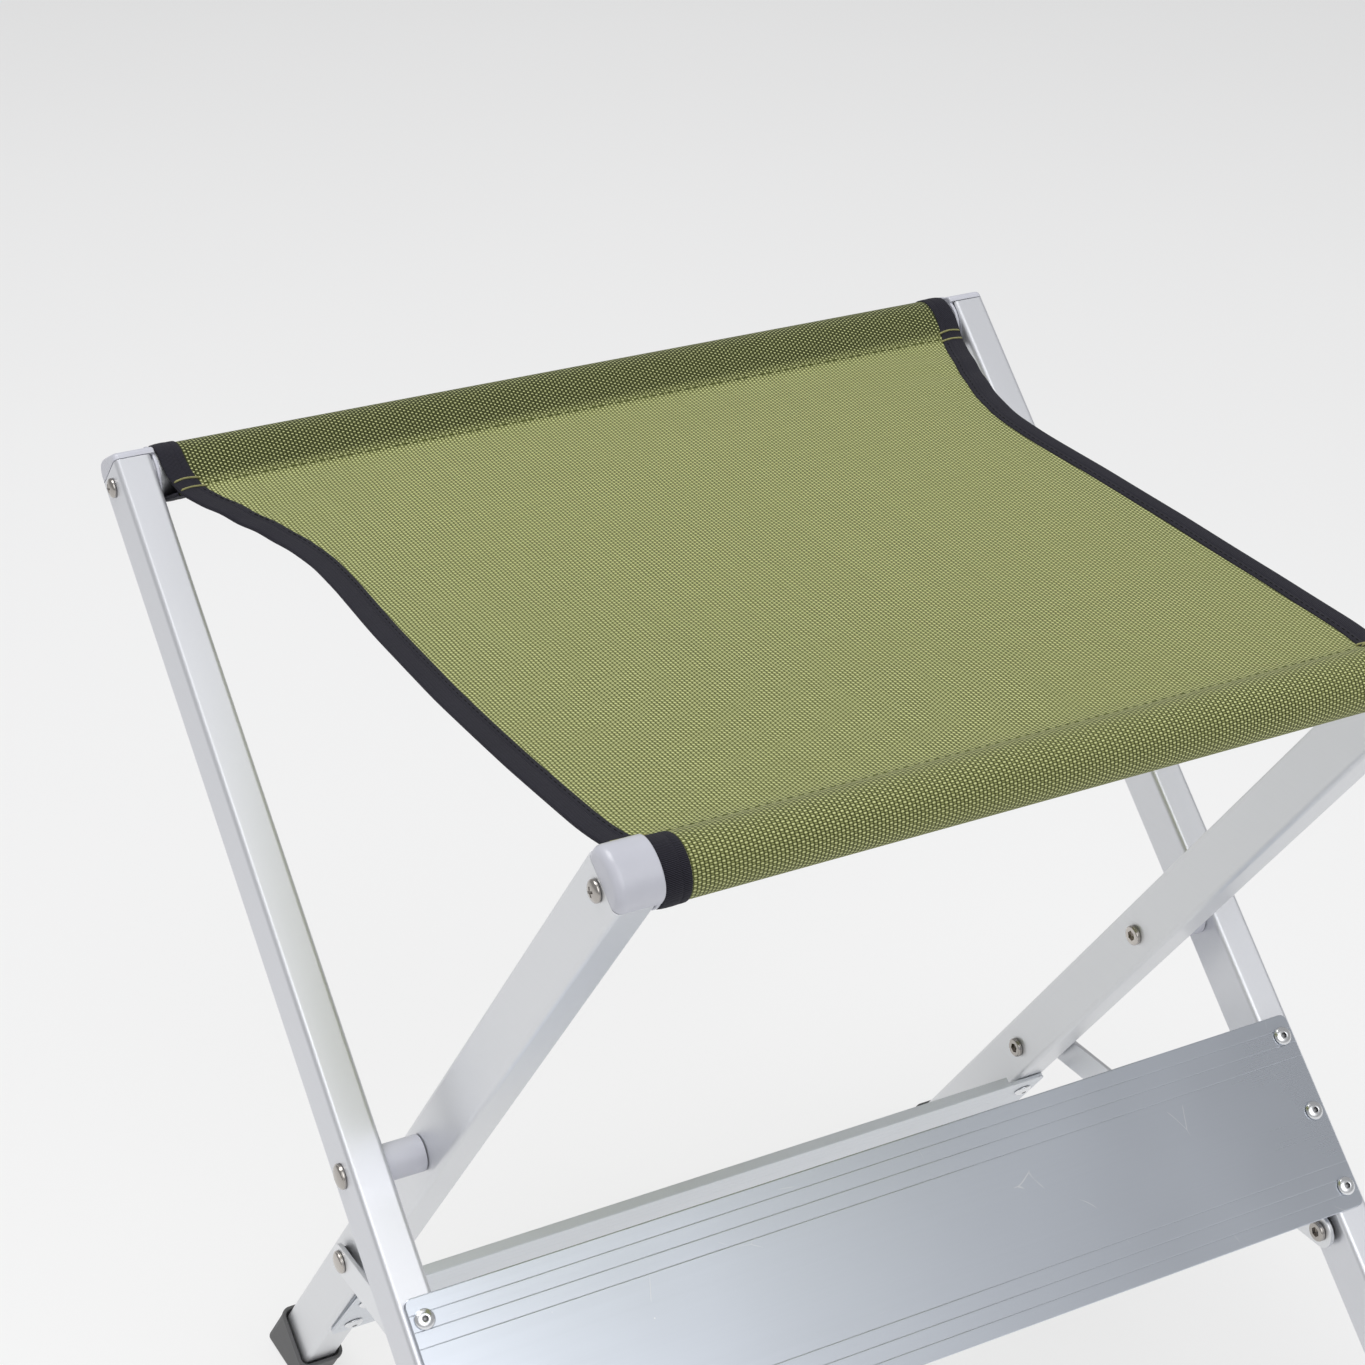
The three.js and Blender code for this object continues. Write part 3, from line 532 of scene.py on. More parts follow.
# ------------------------------------------------------------------ end caps
def cap(x0, top, rail_s, rail_half, screw_s, to, low=False):
    """The D-shaped nose, filleted on its outer edge, with the plug inside the tube and the collar round the rail."""
    base = top + GAP
    x1, xi = x0 + TUBE_T, x0 - FLANGE
    def outline(inset, lift=0.0, n=40):
        pts = []
        h = TUBE_D / 2 - inset
        for i in range(n + 1):
            t = math.pi * i / n
            up = 1.2 + (BULGE - inset - 1.2 - lift) * math.sin(t) ** 0.85
            if low:  # the outer caps' noses slope down to a thin rim over the upper face
                lim = 6.9 - 0.31 * TUBE_D / 2 * math.cos(t) - 0.3 * inset
                k = max(0.0, 5.0 - abs(up - lim)) / 5.0
                up = max(0.6, min(up, lim) - k * k * 1.25)
            pts.append((base + lift + up, h * math.cos(t)))
        pts.append((base + lift * 0.5, -h)); pts.append((base + lift * 0.5, h))
        return np.array(pts)
    rings = []
    ro, ri = 2.4 if low else 3.4, 1.0
    for i in range(5):
        t = math.pi / 2 * i / 4
        q = outline(ri * (1 - math.sin(t)))
        rings.append(np.column_stack([np.full(len(q), xi + ri * (1 - math.cos(t))), q]))
    for i in range(9):
        t = math.pi / 2 * i / 8
        q = outline(ro * (1 - math.cos(t)), 0.0)
        rings.append(np.column_stack([np.full(len(q), x1 - ro + ro * math.sin(t)), q]))
    nose = loft(rings)
    cx = x0 + TUBE_T / 2
    q0 = rrect(TUBE_T - 2 * WALL - 0.6, TUBE_D - 2 * WALL - 0.6, 1.2, cx, 0)
    q1 = rrect(TUBE_T - 2 * WALL - 1.6, TUBE_D - 2 * WALL - 1.6, 1.0, cx, 0)
    plug = loft([np.column_stack([q[:, 0], np.full(len(q), s), q[:, 1]]) for q, s in ((q1, top - 26), (q0, top - 25), (q0, top + 3))])
    prof = rounded_profile([(xi, 0), (xi, 12.2), (x0 - GAP, 12.2), (x0 - GAP, 0)], 0.6, 4)
    collar = turned(prof, rail_s, 0, 64)
    def post(bm, side):
        sg = 1 if side == "right" else -1
        add = []
        for vv, ff in (plug, collar):
            w = np.array(vv, float); w[:, 0] *= sg
            add.append(mesh_of(to(w), ff))
        bm = boolean(bm, add, "UNION")
        bm = boolean(bm, [bm_cyl(RAIL_R + GAP + 0.013, xi - 1.07, rail_half + GAP + 0.037, rail_s, 0.007, to, 62, sg)])
        return boolean(bm, [bm_cyl(1.76, x1 - 4.93, x1 + 1.03, screw_s, 0.009, to, 22, sg)])
    return nose, post


for nm, node, x0, top, rs, rh, ss, to in (("outer_end_cap", "outer_cap", OX0, O_TOP, O_RAIL, OX0 + 8.5, O_SCREW, A), ("inner_end_cap", "inner_cap", IX0, I_TOP, I_RAIL, IX0 + 8.5, I_SCREW, B)):
    (v, f), post = cap(x0, top, rs, rh, ss, to, nm == "outer_end_cap")
    pair(nm, node, v, f, to, "cap_plastic", "end_cap_plastic", post=post, angle=40)


# ------------------------------------------------------------------ screws, bolts, nuts, rivets
def cap_screw(x1, s, to, turn):
    h = x1 + GAP
    prof = [(h - 4.3, 0), (h - 4.3, 1.3), (h, 1.3), (h, 4.3), (h + 0.55, 4.3)]
    for i in range(1, 9):
        t = math.pi / 2 * i / 8
        prof.append((h + 0.55 + 1.75 * math.sin(t), 4.3 * math.cos(t)))
    v, f = turned(rounded_profile(prof[:5], 0.2, 2)[:-1] + prof[4:], s, 0, 48)
    def post(bm, side):
        sg = 1 if side == "right" else -1
        cuts = []
        for a in (turn, turn + math.pi / 2):
            c, q = math.cos(a), math.sin(a)
            rings = []
            for x, w, l in ((h + 0.9, 0.32, 1.3), (h + 4, 0.75, 3.0)):
                rings.append([(sg * x, s + uu * c - vv * q, uu * q + vv * c) for uu, vv in ((-l, -w), (l, -w), (l, w), (-l, w))])
            vv, ff = loft(rings)
            cuts.append(mesh_of(to(vv), ff))
        return boolean(bm, cuts)
    return v, f, post


for nm, node, x1, s, to in (("outer_screw", "outer_cap_screw", OX1, O_SCREW, A), ("inner_screw", "inner_cap_screw", IX1, I_SCREW, B)):
    v, f, post = cap_screw(x1, s, to, 0.5)
    pair(nm, node, v, f, to, "nickel", "fastener_steel", post=post, angle=40)


def bolt(x1, tip, s, r, rh):
    h = x1 + GAP
    prof = [(tip, 0), (tip, r - 0.3), (tip + 0.3, r), (h, r), (h, rh), (h + 0.7, rh), (h + 0.95, rh - 0.12), (h + 1.05, rh - 0.4)]
    for i in range(1, 10):
        t = math.pi / 2 * i / 9
        prof.append((h + 1.05 + 1.4 * math.sin(t), (rh - 0.4) * math.cos(t) if i < 9 else 0))
    return turned(prof, s, 0, 56)


def nut(x0, s, depth):
    """A flanged barrel nut with a hexagon socket, turned, with the rings going from round to six-sided."""
    k = 48
    t = np.arange(k) * 2 * math.pi / k
    x = x0 - GAP
    def circ(xx, r):
        return np.column_stack([np.full(k, xx), s + r * np.cos(t), r * np.sin(t)])
    def hexa(xx, r):
        a = (t + math.pi / 6) % (math.pi / 3) - math.pi / 6
        q = r * math.cos(math.pi / 6) / np.cos(a)
        return np.column_stack([np.full(k, xx), s + q * np.cos(t), q * np.sin(t)])
    rings = [circ(x + depth, 2.4 - 0.2), circ(x + depth - 0.2, 2.4), circ(x, 2.4), circ(x, 4.6), circ(x - 1.2, 4.6), circ(x - 1.6, 4.45), circ(x - 1.9, 4.1), circ(x - 2.0, 3.7),
             circ(x - 2.0, 2.75), hexa(x - 1.85, 2.45), hexa(x - 0.3, 2.3), hexa(x - 0.15, 1.4)]
    return loft(rings)


for nm, node, args, to in (("pivot_bolt_head", "pivot_bolt", (OX1, IX0 + 3, 0, 3, 5.4), A), ("stay_rear_bolt_head", "stay_rear_bolt", (X_REAR + STAY_T, IX0 + 3, S_REAR, 2.7, 5.2), B), ("stay_front_bolt_head", "stay_front_bolt", (OX1, X_FAR + STAY_T - 0.2, S_FRONT, 2.7, 5.2), A)):
    v, f = bolt(*args)
    pair(nm, node, v, f, to, "nickel", "fastener_steel", angle=40)
for nm, node, args, to in (("pivot_nut_barrel", "pivot_nut", (IX0, 0, 2.6), A), ("stay_rear_nut_barrel", "stay_rear_nut", (IX0, S_REAR, 2.6), B), ("stay_front_nut_barrel", "stay_front_nut", (X_FAR, S_FRONT, 1.7), A)):
    v, f = nut(*args)
    pair(nm, node, v, f, to, "nickel", "fastener_steel", angle=40)

prof = [(IX1 + GAP, 3.3), (IX1 + GAP, 7.2), (IX1 + GAP + 0.15, 7.55), (IX1 + GAP + 0.5, 7.7), (OX0 - GAP - 0.5, 7.7), (OX0 - GAP - 0.15, 7.55), (OX0 - GAP, 7.2), (OX0 - GAP, 3.3), (IX1 + GAP, 3.3)]
v, f = turned(prof, 0, 0, 64)
pair("pivot_spacer_tube", "pivot_spacer", v, f, A, "spacer_plastic", "spacer_plastic")
for nm, node, x0, x1, s, to in (("stay_rear_washer_disc", "stay_rear_washer", IX1 + GAP, X_REAR - GAP, S_REAR, B), ("stay_front_washer_disc", "stay_front_washer", X_FAR + STAY_T + GAP, OX0 - GAP, S_FRONT, A)):
    v, f = turned([(x0, 3), (x0, 5.8), (x0 + 0.2, 6), (x1 - 0.2, 6), (x1, 5.8), (x1, 3), (x0, 3)], s, 0, 48)
    pair(nm, node, v, f, to, "washer_nylon", "washer_nylon")


def rivet(x, y):
    """A pop rivet: domed head, the mandrel's stub sunk in its hole, shank and blind bulb."""
    z = TUBE_D / 2 + GAP + PANEL_T + GAP
    prof = [(-6.2, 0), (-6.15, 1.6), (-5.9, 2.6), (-5.4, 2.75), (-4.8, 2.4), (-4.4, 2.0), (0, 2.0), (0, 4.15), (0.12, 4.3), (0.35, 4.3), (0.75, 4.1), (1.2, 3.6), (1.55, 2.9), (1.75, 2.2), (1.8, 1.6), (1.7, 1.25), (1.4, 1.15), (0.75, 1.15), (0.75, 0.95), (1.15, 0.9), (1.3, 0.6), (1.33, 0)]
    k = 36
    t = np.arange(k) * 2 * math.pi / k
    rings = [np.column_stack([x + max(r, 1e-6) * np.cos(t), y + max(r, 1e-6) * np.sin(t), np.full(k, z + h)]) for h, r in prof]
    v, f = loft(rings, cap_start=False, cap_end=False)
    return v, f


for nm, pre, rs, rx, to, names in (("front_rivet", "front_rivet", F_RIV, F_RIVX, A, ("upper", "middle", "lower")), ("rear_rivet", "rear_rivet", R_RIV, R_RIVX, B, ("upper", "lower"))):
    for w, s in zip(names, rs):
        v, f = rivet(rx, s)
        z0 = TUBE_D / 2 + GAP + PANEL_T + GAP
        for side in ("right", "left"):
            vv = np.array(v, float)
            if side == "left":
                vv = flip_x(vv)
            bm = mesh_of(to(vv), f)
            c = Vector(to([(rx if side == "right" else -rx, s, z0)])[0])
            nn = Vector(to([(0, 0, 1)])[0]) - Vector(to([(0, 0, 0)])[0])
            for face in bm.faces:
                d = face.calc_center_median() - c
                h = d.dot(nn)
                if h > 0.6 and (d - nn * h).length < 1.2:
                    face.material_index = 1
            piece(f"{nm}_{w}_head_{side}", bm, "rivet_metal", "rivet_aluminium", [f"{pre}_{w}_{side}"], angle=40, extra=("mandrel_metal",))


# ------------------------------------------------------------------ boots
def boot(x0, rim, bottom, d, n):
    cx = x0 + TUBE_T / 2
    w, h = TUBE_T + 2 * BOOT_WALL, TUBE_D + 2 * BOOT_WALL
    def floor_s(o, up=0.0):
        return (-PZ + up - o * n[1]) / d[1]
    def ring(inset, s_of, r=4.2):
        q = rrect(w - 2 * inset, h - 2 * inset, max(r - inset, 0.6), cx, 0, 8)
        return np.column_stack([q[:, 0], [s_of(o) for o in q[:, 1]], q[:, 1]])
    rings = []
    rr = 2.6
    for i in range(6):
        t = math.pi / 2 * i / 5
        rings.append(ring(rr * (1 - math.sin(t)), lambda o, k=rr * (1 - math.cos(t)): floor_s(o, k * abs(d[1]) * 1.0)))
    # a slightly raised bead round the open edge
    rings += [ring(0.0, lambda o: rim - 3.2), ring(-0.02, lambda o: rim - 2.4), ring(-0.32, lambda o: rim - 2.0), ring(-0.35, lambda o: rim - 0.6), ring(-0.1, lambda o: rim - 0.15), ring(0.4, lambda o: rim),
              ring(1.15, lambda o: rim), ring(1.4, lambda o: rim - 0.25)]
    # the lip stands clear of the tube, which shows as a dark line round it
    wide = rrect(TUBE_T + 2.2, TUBE_D + 2.2, TUBE_R + 1.1, cx, 0, 8)
    rings.append(np.column_stack([wide[:, 0], np.full(len(wide), rim - 3.6), wide[:, 1]]))
    cq = rrect(TUBE_T + 2 * GAP, TUBE_D + 2 * GAP, TUBE_R + GAP, cx, 0, 8)
    rings.append(np.column_stack([cq[:, 0], np.full(len(cq), rim - 4.2), cq[:, 1]]))
    rings.append(np.column_stack([cq[:, 0], np.full(len(cq), bottom - GAP), cq[:, 1]]))
    return loft(rings)


for nm, node, args, to in (("outer_boot_shell", "outer_boot", (OX0, O_RIM, O_BOT, DA, NA), A), ("inner_boot_shell", "inner_boot", (IX0, I_RIM, I_BOT, DB, NB), B)):
    v, f = boot(*args)
    pair(nm, node, v, f, to, "boot_rubber", "boot_rubber", angle=50)


# ------------------------------------------------------------------ planks
def plank(nm, node, top, bottom, half, rivets, rivet_x, to, material):
    z0 = TUBE_D / 2 + GAP; z1 = z0 + PANEL_T
    R = 3.5
    def xe(s):
        d = max(0.0, R - min(top - s, s - bottom))
        return half - (R - math.sqrt(max(0.0, R * R - d * d)))
    prof = []  # (s, o) round the plate
    e = 0.5
    def arc(cs, co, a0, a1, n=4):
        return [(cs + e * math.cos(math.radians(a0 + (a1 - a0) * i / n)), co + e * math.sin(math.radians(a0 + (a1 - a0) * i / n))) for i in range(n + 1)]
    corner = [top - e - (R - e) * (1 - math.cos(math.radians(a))) for a in (15, 30, 45, 60, 75, 90)]
    low = [bottom + e + (R - e) * (1 - math.cos(math.radians(a))) for a in (15, 30, 45, 60, 75, 90)]
    prof += arc(top - e, z1 - e, 0, 90)
    prof += [(s, z1) for s in corner]
    marks = [top - g for g in GROOVES] + [bottom + g for g in reversed(GROOVES)]
    for g in marks:
        prof += [(g + 0.3, z1), (g + 0.2, z1 - 0.03), (g, z1 - 0.15), (g - 0.2, z1 - 0.03), (g - 0.3, z1)]
    prof += [(s, z1) for s in reversed(low)]
    prof += arc(bottom + e, z1 - e, 90, 180)
    prof += arc(bottom + e, z0 + e, 180, 270)
    prof += [(s, z0) for s in low]
    prof += [(s, z0) for s in reversed(corner)]
    prof += arc(top - e, z0 + e, 270, 360)
    k = len(prof)
    xs = []
    # ends a little rounded: the outermost 0.3 mm steps in
    rings = []
    cen = np.array([( (top + bottom) / 2, (z0 + z1) / 2)])
    P = np.array(prof)
    ex = np.array([xe(s) for s, o in prof])
    ins = P.copy(); ins[:, 1] = (z0 + z1) / 2 + (P[:, 1] - (z0 + z1) / 2) * 0.72
    rings.append(np.column_stack([-ex, ins])); rings.append(np.column_stack([-ex + 0.28, P]))
    rings.append(np.column_stack([ex - 0.28, P])); rings.append(np.column_stack([ex, ins]))
    verts, faces = loft(rings, cap_start=False, cap_end=False)
    # the ends: each is one face through the whole profile, split into triangles below
    def end(base):
        order = sorted(range(k), key=lambda i: (-prof[i][0], -prof[i][1]))
        return [tuple(base + i for i in range(k))]
    faces += end(0) + end(3 * k)
    bm = mesh_of(to(verts), faces)
    bmesh.ops.triangulate(bm, faces=[q for q in bm.faces if len(q.verts) > 4], ngon_method="EAR_CLIP")
    add = []
    for y0, y1 in ((top - 1.6, top - 0.02), (bottom + 0.02, bottom + 1.6)):
        lp = rrect(y1 - y0, LIP_DEPTH - 0.3, 0.45, (y0 + y1) / 2, z1 - LIP_DEPTH / 2 - 0.15, 4)
        v, f = loft([np.column_stack([np.full(len(lp), x), lp]) for x in (-LIP_HALF, LIP_HALF)])
        add.append(mesh_of(to(v), f))
    bm = boolean(bm, add, "UNION")
    cuts = []
    t = np.arange(20) * 2 * math.pi / 20
    for r in rivets:
        for x in (-rivet_x, rivet_x):
            v, f = loft([np.column_stack([x + 2.3 * np.cos(t), r + 2.3 * np.sin(t), np.full(20, o)]) for o in (z0 - 1, z1 + 1)])
            cuts.append(mesh_of(to(v), f))
    bm = boolean(bm, cuts)
    piece(nm, bm, material, "plank_aluminium", [node], angle=30)


plank("front_plank_panel", "front_plank", F_TOP, F_BOT, F_HALF, F_RIV, F_RIVX, A, "aluminium_plank")
plank("rear_plank_panel", "rear_plank", R_TOP, R_BOT, R_HALF, R_RIV, R_RIVX, B, "aluminium_plank_rear")


# ------------------------------------------------------------------ stays
def bar(length, x_of):
    """A flat bar with round ends; x_of gives its layer along its length, and its cross-section has rounded edges."""
    R = STAY_W / 2
    us = [-R * math.cos(math.radians(a)) for a in (4, 12, 22, 34, 46, 58, 70, 80, 90)]
    us += [2, 8, 14] + [length - 66 + 3 * i for i in range(13) if length - 66 + 3 * i > 16 and length - 66 + 3 * i < length - 16] + [length - 14, length - 8, length - 2]
    us += [length + R * math.cos(math.radians(a)) for a in (90, 80, 70, 58, 46, 34, 22, 12, 4)]
    us = sorted(set(round(u, 4) for u in us))
    rings = []
    for u in us:
        d = max(0.0, -u, u - length)
        w = math.sqrt(max(0.04, R * R - d * d))
        x, e = x_of(u), min(0.45, w * 0.5)
        q = rrect(STAY_T, 2 * w, e, x + STAY_T / 2, 0, 3)
        rings.append(np.column_stack([q[:, 0], np.full(len(q), u), q[:, 1]]))
    return loft(rings)


def holes(to, length, r0=3.0, r1=2.5):
    def post(bm, side):
        sg = 1 if side == "right" else -1
        return boolean(bm, [bm_cyl(r0, 180, 210, 0, 0, to, 32, sg), bm_cyl(r1, 180, 210, length, 0, to, 32, sg)])
    return post


v, f = bar(L_REAR, lambda u: X_REAR)
pair("stay_rear_flat", "stay_rear", v, f, REAR_BAR, "aluminium_bar", "frame_aluminium", post=holes(REAR_BAR, L_REAR))


def crank(u):
    t = min(1.0, max(0.0, (u - (L_FRONT - 61)) / 31))
    t = t * t * (3 - 2 * t)
    return X_FAR + (X_MID - X_FAR) * t


v, f = bar(L_FRONT, crank)
pair("stay_front_flat", "stay_front", v, f, FRONT_BAR, "aluminium_bar", "frame_aluminium", post=holes(FRONT_BAR, L_FRONT))
x = X_MID + STAY_T + GAP
v, f = turned([(X_MID + 0.2, 0), (X_MID + 0.2, 2.2), (x, 2.2), (x, 4.5), (x + 0.4, 4.5), (x + 0.9, 4.15), (x + 1.4, 3.3), (x + 1.75, 2.1), (x + 1.87, 1.0), (x + 1.9, 0)], L_FRONT, 0, 40)
pair("stay_rivet_head", "stay_rivet", v, f, FRONT_BAR, "nickel", "fastener_steel", angle=40)
v, f = turned([(X_REAR - 1.5, 0), (X_REAR - 1.5, 2.6), (X_REAR - 1.3, 3.2), (X_REAR - 0.8, 3.8), (X_REAR - GAP, 4.0), (X_REAR - GAP, 2.2), (X_REAR + STAY_T - 0.2, 2.2), (X_REAR + STAY_T - 0.2, 0)], L_REAR, 0, 40)
pair("stay_rivet_bulb", "stay_rivet_tail", v, f, REAR_BAR, "nickel", "fastener_steel", angle=40)

# ------------------------------------------------------------------ seat
RY, RZ = DA[0] * O_RAIL, DA[1] * O_RAIL
FY, FZ = DB[0] * I_RAIL, DB[1] * I_RAIL
CLOTH_R = 11.75   # middle of the sleeve's cloth
SEAM = 21.0
PLAN = [(FY - 20, 166.6), (FY + 12, 166.6), (FY + 22, 170.5), (-112, 173), (-60, 175), (0, 176), (60, 175), (100, 173), (125, 173), (145, 176.5), (165, 182.5), (185, 189.5), (203, 196), (RY - 22, 198), (RY - 13, 200.8), (RY + 20, 200.8)]


def smooth_plan():
    ys = np.linspace(FY - 20, RY + 20, 900)
    xs = np.interp(ys, [p[0] for p in PLAN], [p[1] for p in PLAN])
    k = np.exp(-0.5 * (np.arange(-40, 41) / 11.0) ** 2); k /= k.sum()
    pad = np.concatenate([np.full(40, xs[0]), xs, np.full(40, xs[-1])])
    sm = np.convolve(pad, k, "valid")
    return ys, np.minimum(sm, 200.6)


PLAN_Y, PLAN_X = smooth_plan()


def half_width(y):
    return np.interp(y, PLAN_Y, PLAN_X)


def path_points():
    """The cloth's line in side view, from the rear seam's under layer round the rear rail, over the seat and round the front rail."""
    pts = []
    def sleeve(cy, cz, tip_dir, start_under, seam_z):
        # the drop shape: tangent lines from the seam to the circle
        r = CLOTH_R
        tip = SEAM
        t0 = math.acos(r / tip)
        out = []
        under = [(cy + tip_dir * tip, seam_z - 1.15)]
        angles = np.linspace(-t0, -(2 * math.pi - t0), 44)  # from under, round the back, to the top
        arc = [(cy + tip_dir * r * math.cos(a), cz + r * math.sin(a)) for a in angles]
        top = [(cy + tip_dir * tip, seam_z + 0.1)]
        return under + arc + top
    rear = sleeve(RY, RZ, -1, True, RZ - 0.2)
    # the rear sleeve starts under the seam and ends on top of it
    pts += rear
    y0, y1 = RY - SEAM, FY + SEAM
    zr, zf = RZ, FZ
    n = 64
    mid = []
    for i in range(1, n):
        y = y0 + (y1 - y0) * i / n
        t = (y - FY) / (RY - FY)
        z = FZ + (RZ - FZ) * t - SAG * 4 * t * (1 - t) + 0.1
        mid.append((y, z))
    front = sleeve(FY, FZ, 1, True, FZ - 0.2)
    pts += mid + list(reversed(front))
    return np.array(pts)


RAW = path_points()


def resample(p, step):
    seg = np.linalg.norm(np.diff(p, axis=0), axis=1)
    L = np.concatenate([[0], np.cumsum(seg)])
    k = int(round(L[-1] / step))
    q = np.linspace(0, L[-1], k + 1)
    out = np.column_stack([np.interp(q, L, p[:, 0]), np.interp(q, L, p[:, 1])])
    return out, q


PATH, PLEN = resample(RAW, 2.0)
# soften the kinks at the seams and tangents, as cloth does
for _ in range(3):
    PATH[1:-1] = 0.25 * PATH[:-2] + 0.5 * PATH[1:-1] + 0.25 * PATH[2:]
TAN = np.gradient(PATH, axis=0); TAN /= np.linalg.norm(TAN, axis=1)[:, None]
# outward normal: away from the rail, and up on the seat
NRM = np.column_stack([TAN[:, 1], -TAN[:, 0]])
if NRM[len(NRM) // 2][1] < 0:
    NRM = -NRM
HALF = half_width(PATH[:, 0])
TOTAL = float(PLEN[-1])
print("cloth path length", round(TOTAL, 1), "mm; widest", round(float(HALF.max()) * 2, 1))


def pucker(x, v, y):
    """Small ripples near the curved edges behind, and soft unevenness of the whole cloth."""
    e = np.clip((np.abs(x) - 120) / 60, 0, 1)
    b = np.exp(-((y - 178) / 34) ** 2)
    w = 0.34 * np.sin(y * 0.26 + np.abs(x) * 0.05 + 0.6 * np.sign(x)) * e * b
    w += 0.25 * np.sin(x * 0.045 + 1.3) * np.sin(y * 0.037 + 0.4) * np.clip((110 - np.abs(y - 40)) / 60, 0, 1)
    return w


def on_cloth(x, i, lift=0.0):
    """The cloth's point at path step i and across at x, lifted along its normal."""
    y, z = PATH[i]
    n = NRM[i]
    panel = 1.0 if abs(n[1]) > 0.9 else 0.0
    w = pucker(np.array(x, float), 0, y) if (RY - SEAM - 4 > y > FY + SEAM + 4) else 0.0
    return (x, PY + y + n[0] * lift, PZ + z + n[1] * lift + float(w) * SOFT[i])


SOFT = np.clip((RY - SEAM - 4 - PATH[:, 0]) / 14, 0, 1) * np.clip((PATH[:, 0] - FY - SEAM - 4) / 14, 0, 1)
T = 0.9  # cloth thickness
ACROSS = 120


def cloth_mesh():
    verts, uvs, faces = [], [], []
    k = len(PATH)
    for i in range(k):
        h = HALF[i] - 1.1
        for j in range(ACROSS + 1):
            x = -h + 2 * h * j / ACROSS
            verts.append(on_cloth(x, i)); uvs.append((x / 1000, PLEN[i] / 1000))
    W = ACROSS + 1
    for i in range(k - 1):
        for j in range(ACROSS):
            faces.append((i * W + j, i * W + j + 1, (i + 1) * W + j + 1, (i + 1) * W + j))
    return np.array(verts), np.array(uvs), faces


def sheet_object(name, verts, uvs, faces, material, thickness, offset=0.0, up=None):
    me = bpy.data.meshes.new(name)
    me.from_pydata([tuple(v) for v in np.asarray(verts) / 1000], [], faces)
    me.update()
    layer = me.uv_layers.new(name="cloth")
    loops = np.zeros(len(me.loops), np.int32); me.loops.foreach_get("vertex_index", loops)
    layer.data.foreach_set("uv", np.asarray(uvs, np.float32)[loops].ravel())
    me.polygons.foreach_set("use_smooth", np.ones(len(me.polygons), bool))
    me.materials.append(MATS[material])
    o = bpy.data.objects.new(name, me)
    bpy.context.scene.collection.objects.link(o)
    if thickness:
        m = o.modifiers.new("thickness", "SOLIDIFY"); m.thickness = thickness / 1000; m.offset = offset; m.use_even_offset = False
    return o


def bake_modifiers(o):
    """Puts the modifiers' result into the mesh."""
    dg = bpy.context.evaluated_depsgraph_get()
    me = bpy.data.meshes.new_from_object(o.evaluated_get(dg), preserve_all_data_layers=True, depsgraph=dg)
    old = o.data
    o.modifiers.clear(); o.data = me; me.name = o.name
    bpy.data.meshes.remove(old)


# the seat's path wraps the outer frame's rail at the rear and the inner frame's rail at the front
on_top = [i for i in range(len(PATH)) if NRM[i][1] > 0.9 and RY - SEAM > PATH[i][0] > FY + SEAM]
V_REAR, V_FRONT = float(PLEN[on_top[0]]), float(PLEN[on_top[-1]])
# painted shade: the rear sleeve's zone is darkened strongly and the front sleeve's lightly
cloth("seat_weave", rgb(222, 226, 164), rgb(154, 159, 97), rgb(46, 52, 12), 1.62, 0.95, 0.34, 0.2, 0.10, sleeve_shade_zones=((-20, V_REAR - 3, 1.15), (V_FRONT + 14, TOTAL + 20, 0.38)))
v, uv, f = cloth_mesh()
seat = sheet_object("seat_sling", v, uv, f, "seat_weave", T)
bake_modifiers(seat)
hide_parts("seat_cloth")

# edge binding: one folded tape each side, round the sleeve ends too
TAPE_W, TAPE_T = 10.5, 0.55
SLOPE = np.gradient(HALF) / np.maximum(np.abs(np.gradient(PLEN)), 1e-6)


def binding_mesh(side):
    """Cross-section of the folded tape, from the inner edge on top, round the cloth's edge, to the inner edge below."""
    g = T / 2 + TAPE_T / 2 + 0.05
    cs = []  # (inset from the edge, lift, distance along the tape)
    outer = [(TAPE_W, g - 0.25), (TAPE_W - 0.3, g + 0.05), (TAPE_W - 1.6, g + 0.12), (TAPE_W - 3.1, g + 0.12), (TAPE_W - 3.5, g - 0.10), (TAPE_W - 3.9, g + 0.15), (5.2, g + 0.22), (3.6, g + 0.20), (2.0, g + 0.12), (1.0, g)]
    cs += outer
    for a in (60, 30, 0, -30, -60):
        t = math.radians(a)
        cs.append((0.55 - 0.55 * math.cos(t) * 1.0 + 0.0, g * math.sin(t)))
    cs += [(1.0, -g), (3.0, -g), (6.0, -g), (TAPE_W - 1.0, -g), (TAPE_W, -g + 0.1)]
    cs = np.array(cs)
    dist = np.concatenate([[0], np.cumsum(np.linalg.norm(np.diff(cs, axis=0), axis=1))])
    k, m = len(PATH), len(cs)
    verts, uvs, faces = [], [], []
    for i in range(k):
        stretch = math.sqrt(1 + SLOPE[i] ** 2)
        for (ins, lift), d in zip(cs, dist):
            # inside a sleeve the inner layer hugs the cloth more closely, clear of the rail
            in_sleeve = math.hypot(PATH[i][0] - RY, PATH[i][1] - RZ) < CLOTH_R + 1 or math.hypot(PATH[i][0] - FY, PATH[i][1] - FZ) < CLOTH_R + 1
            l = lift if not (in_sleeve and lift < 0) else max(lift, -0.78)
            x = HALF[i] - ins * stretch
            p = on_cloth(x, i, l)
            verts.append((p[0] * (1 if side == "right" else -1), p[1], p[2]))
            uvs.append((d / 1000, PLEN[i] / 1000))
    for i in range(k - 1):
        for j in range(m - 1):
            faces.append((i * m + j, i * m + j + 1, (i + 1) * m + j + 1, (i + 1) * m + j))
    if side == "left":
        faces = [tuple(reversed(q)) for q in faces]
    return np.array(verts), np.array(uvs), faces


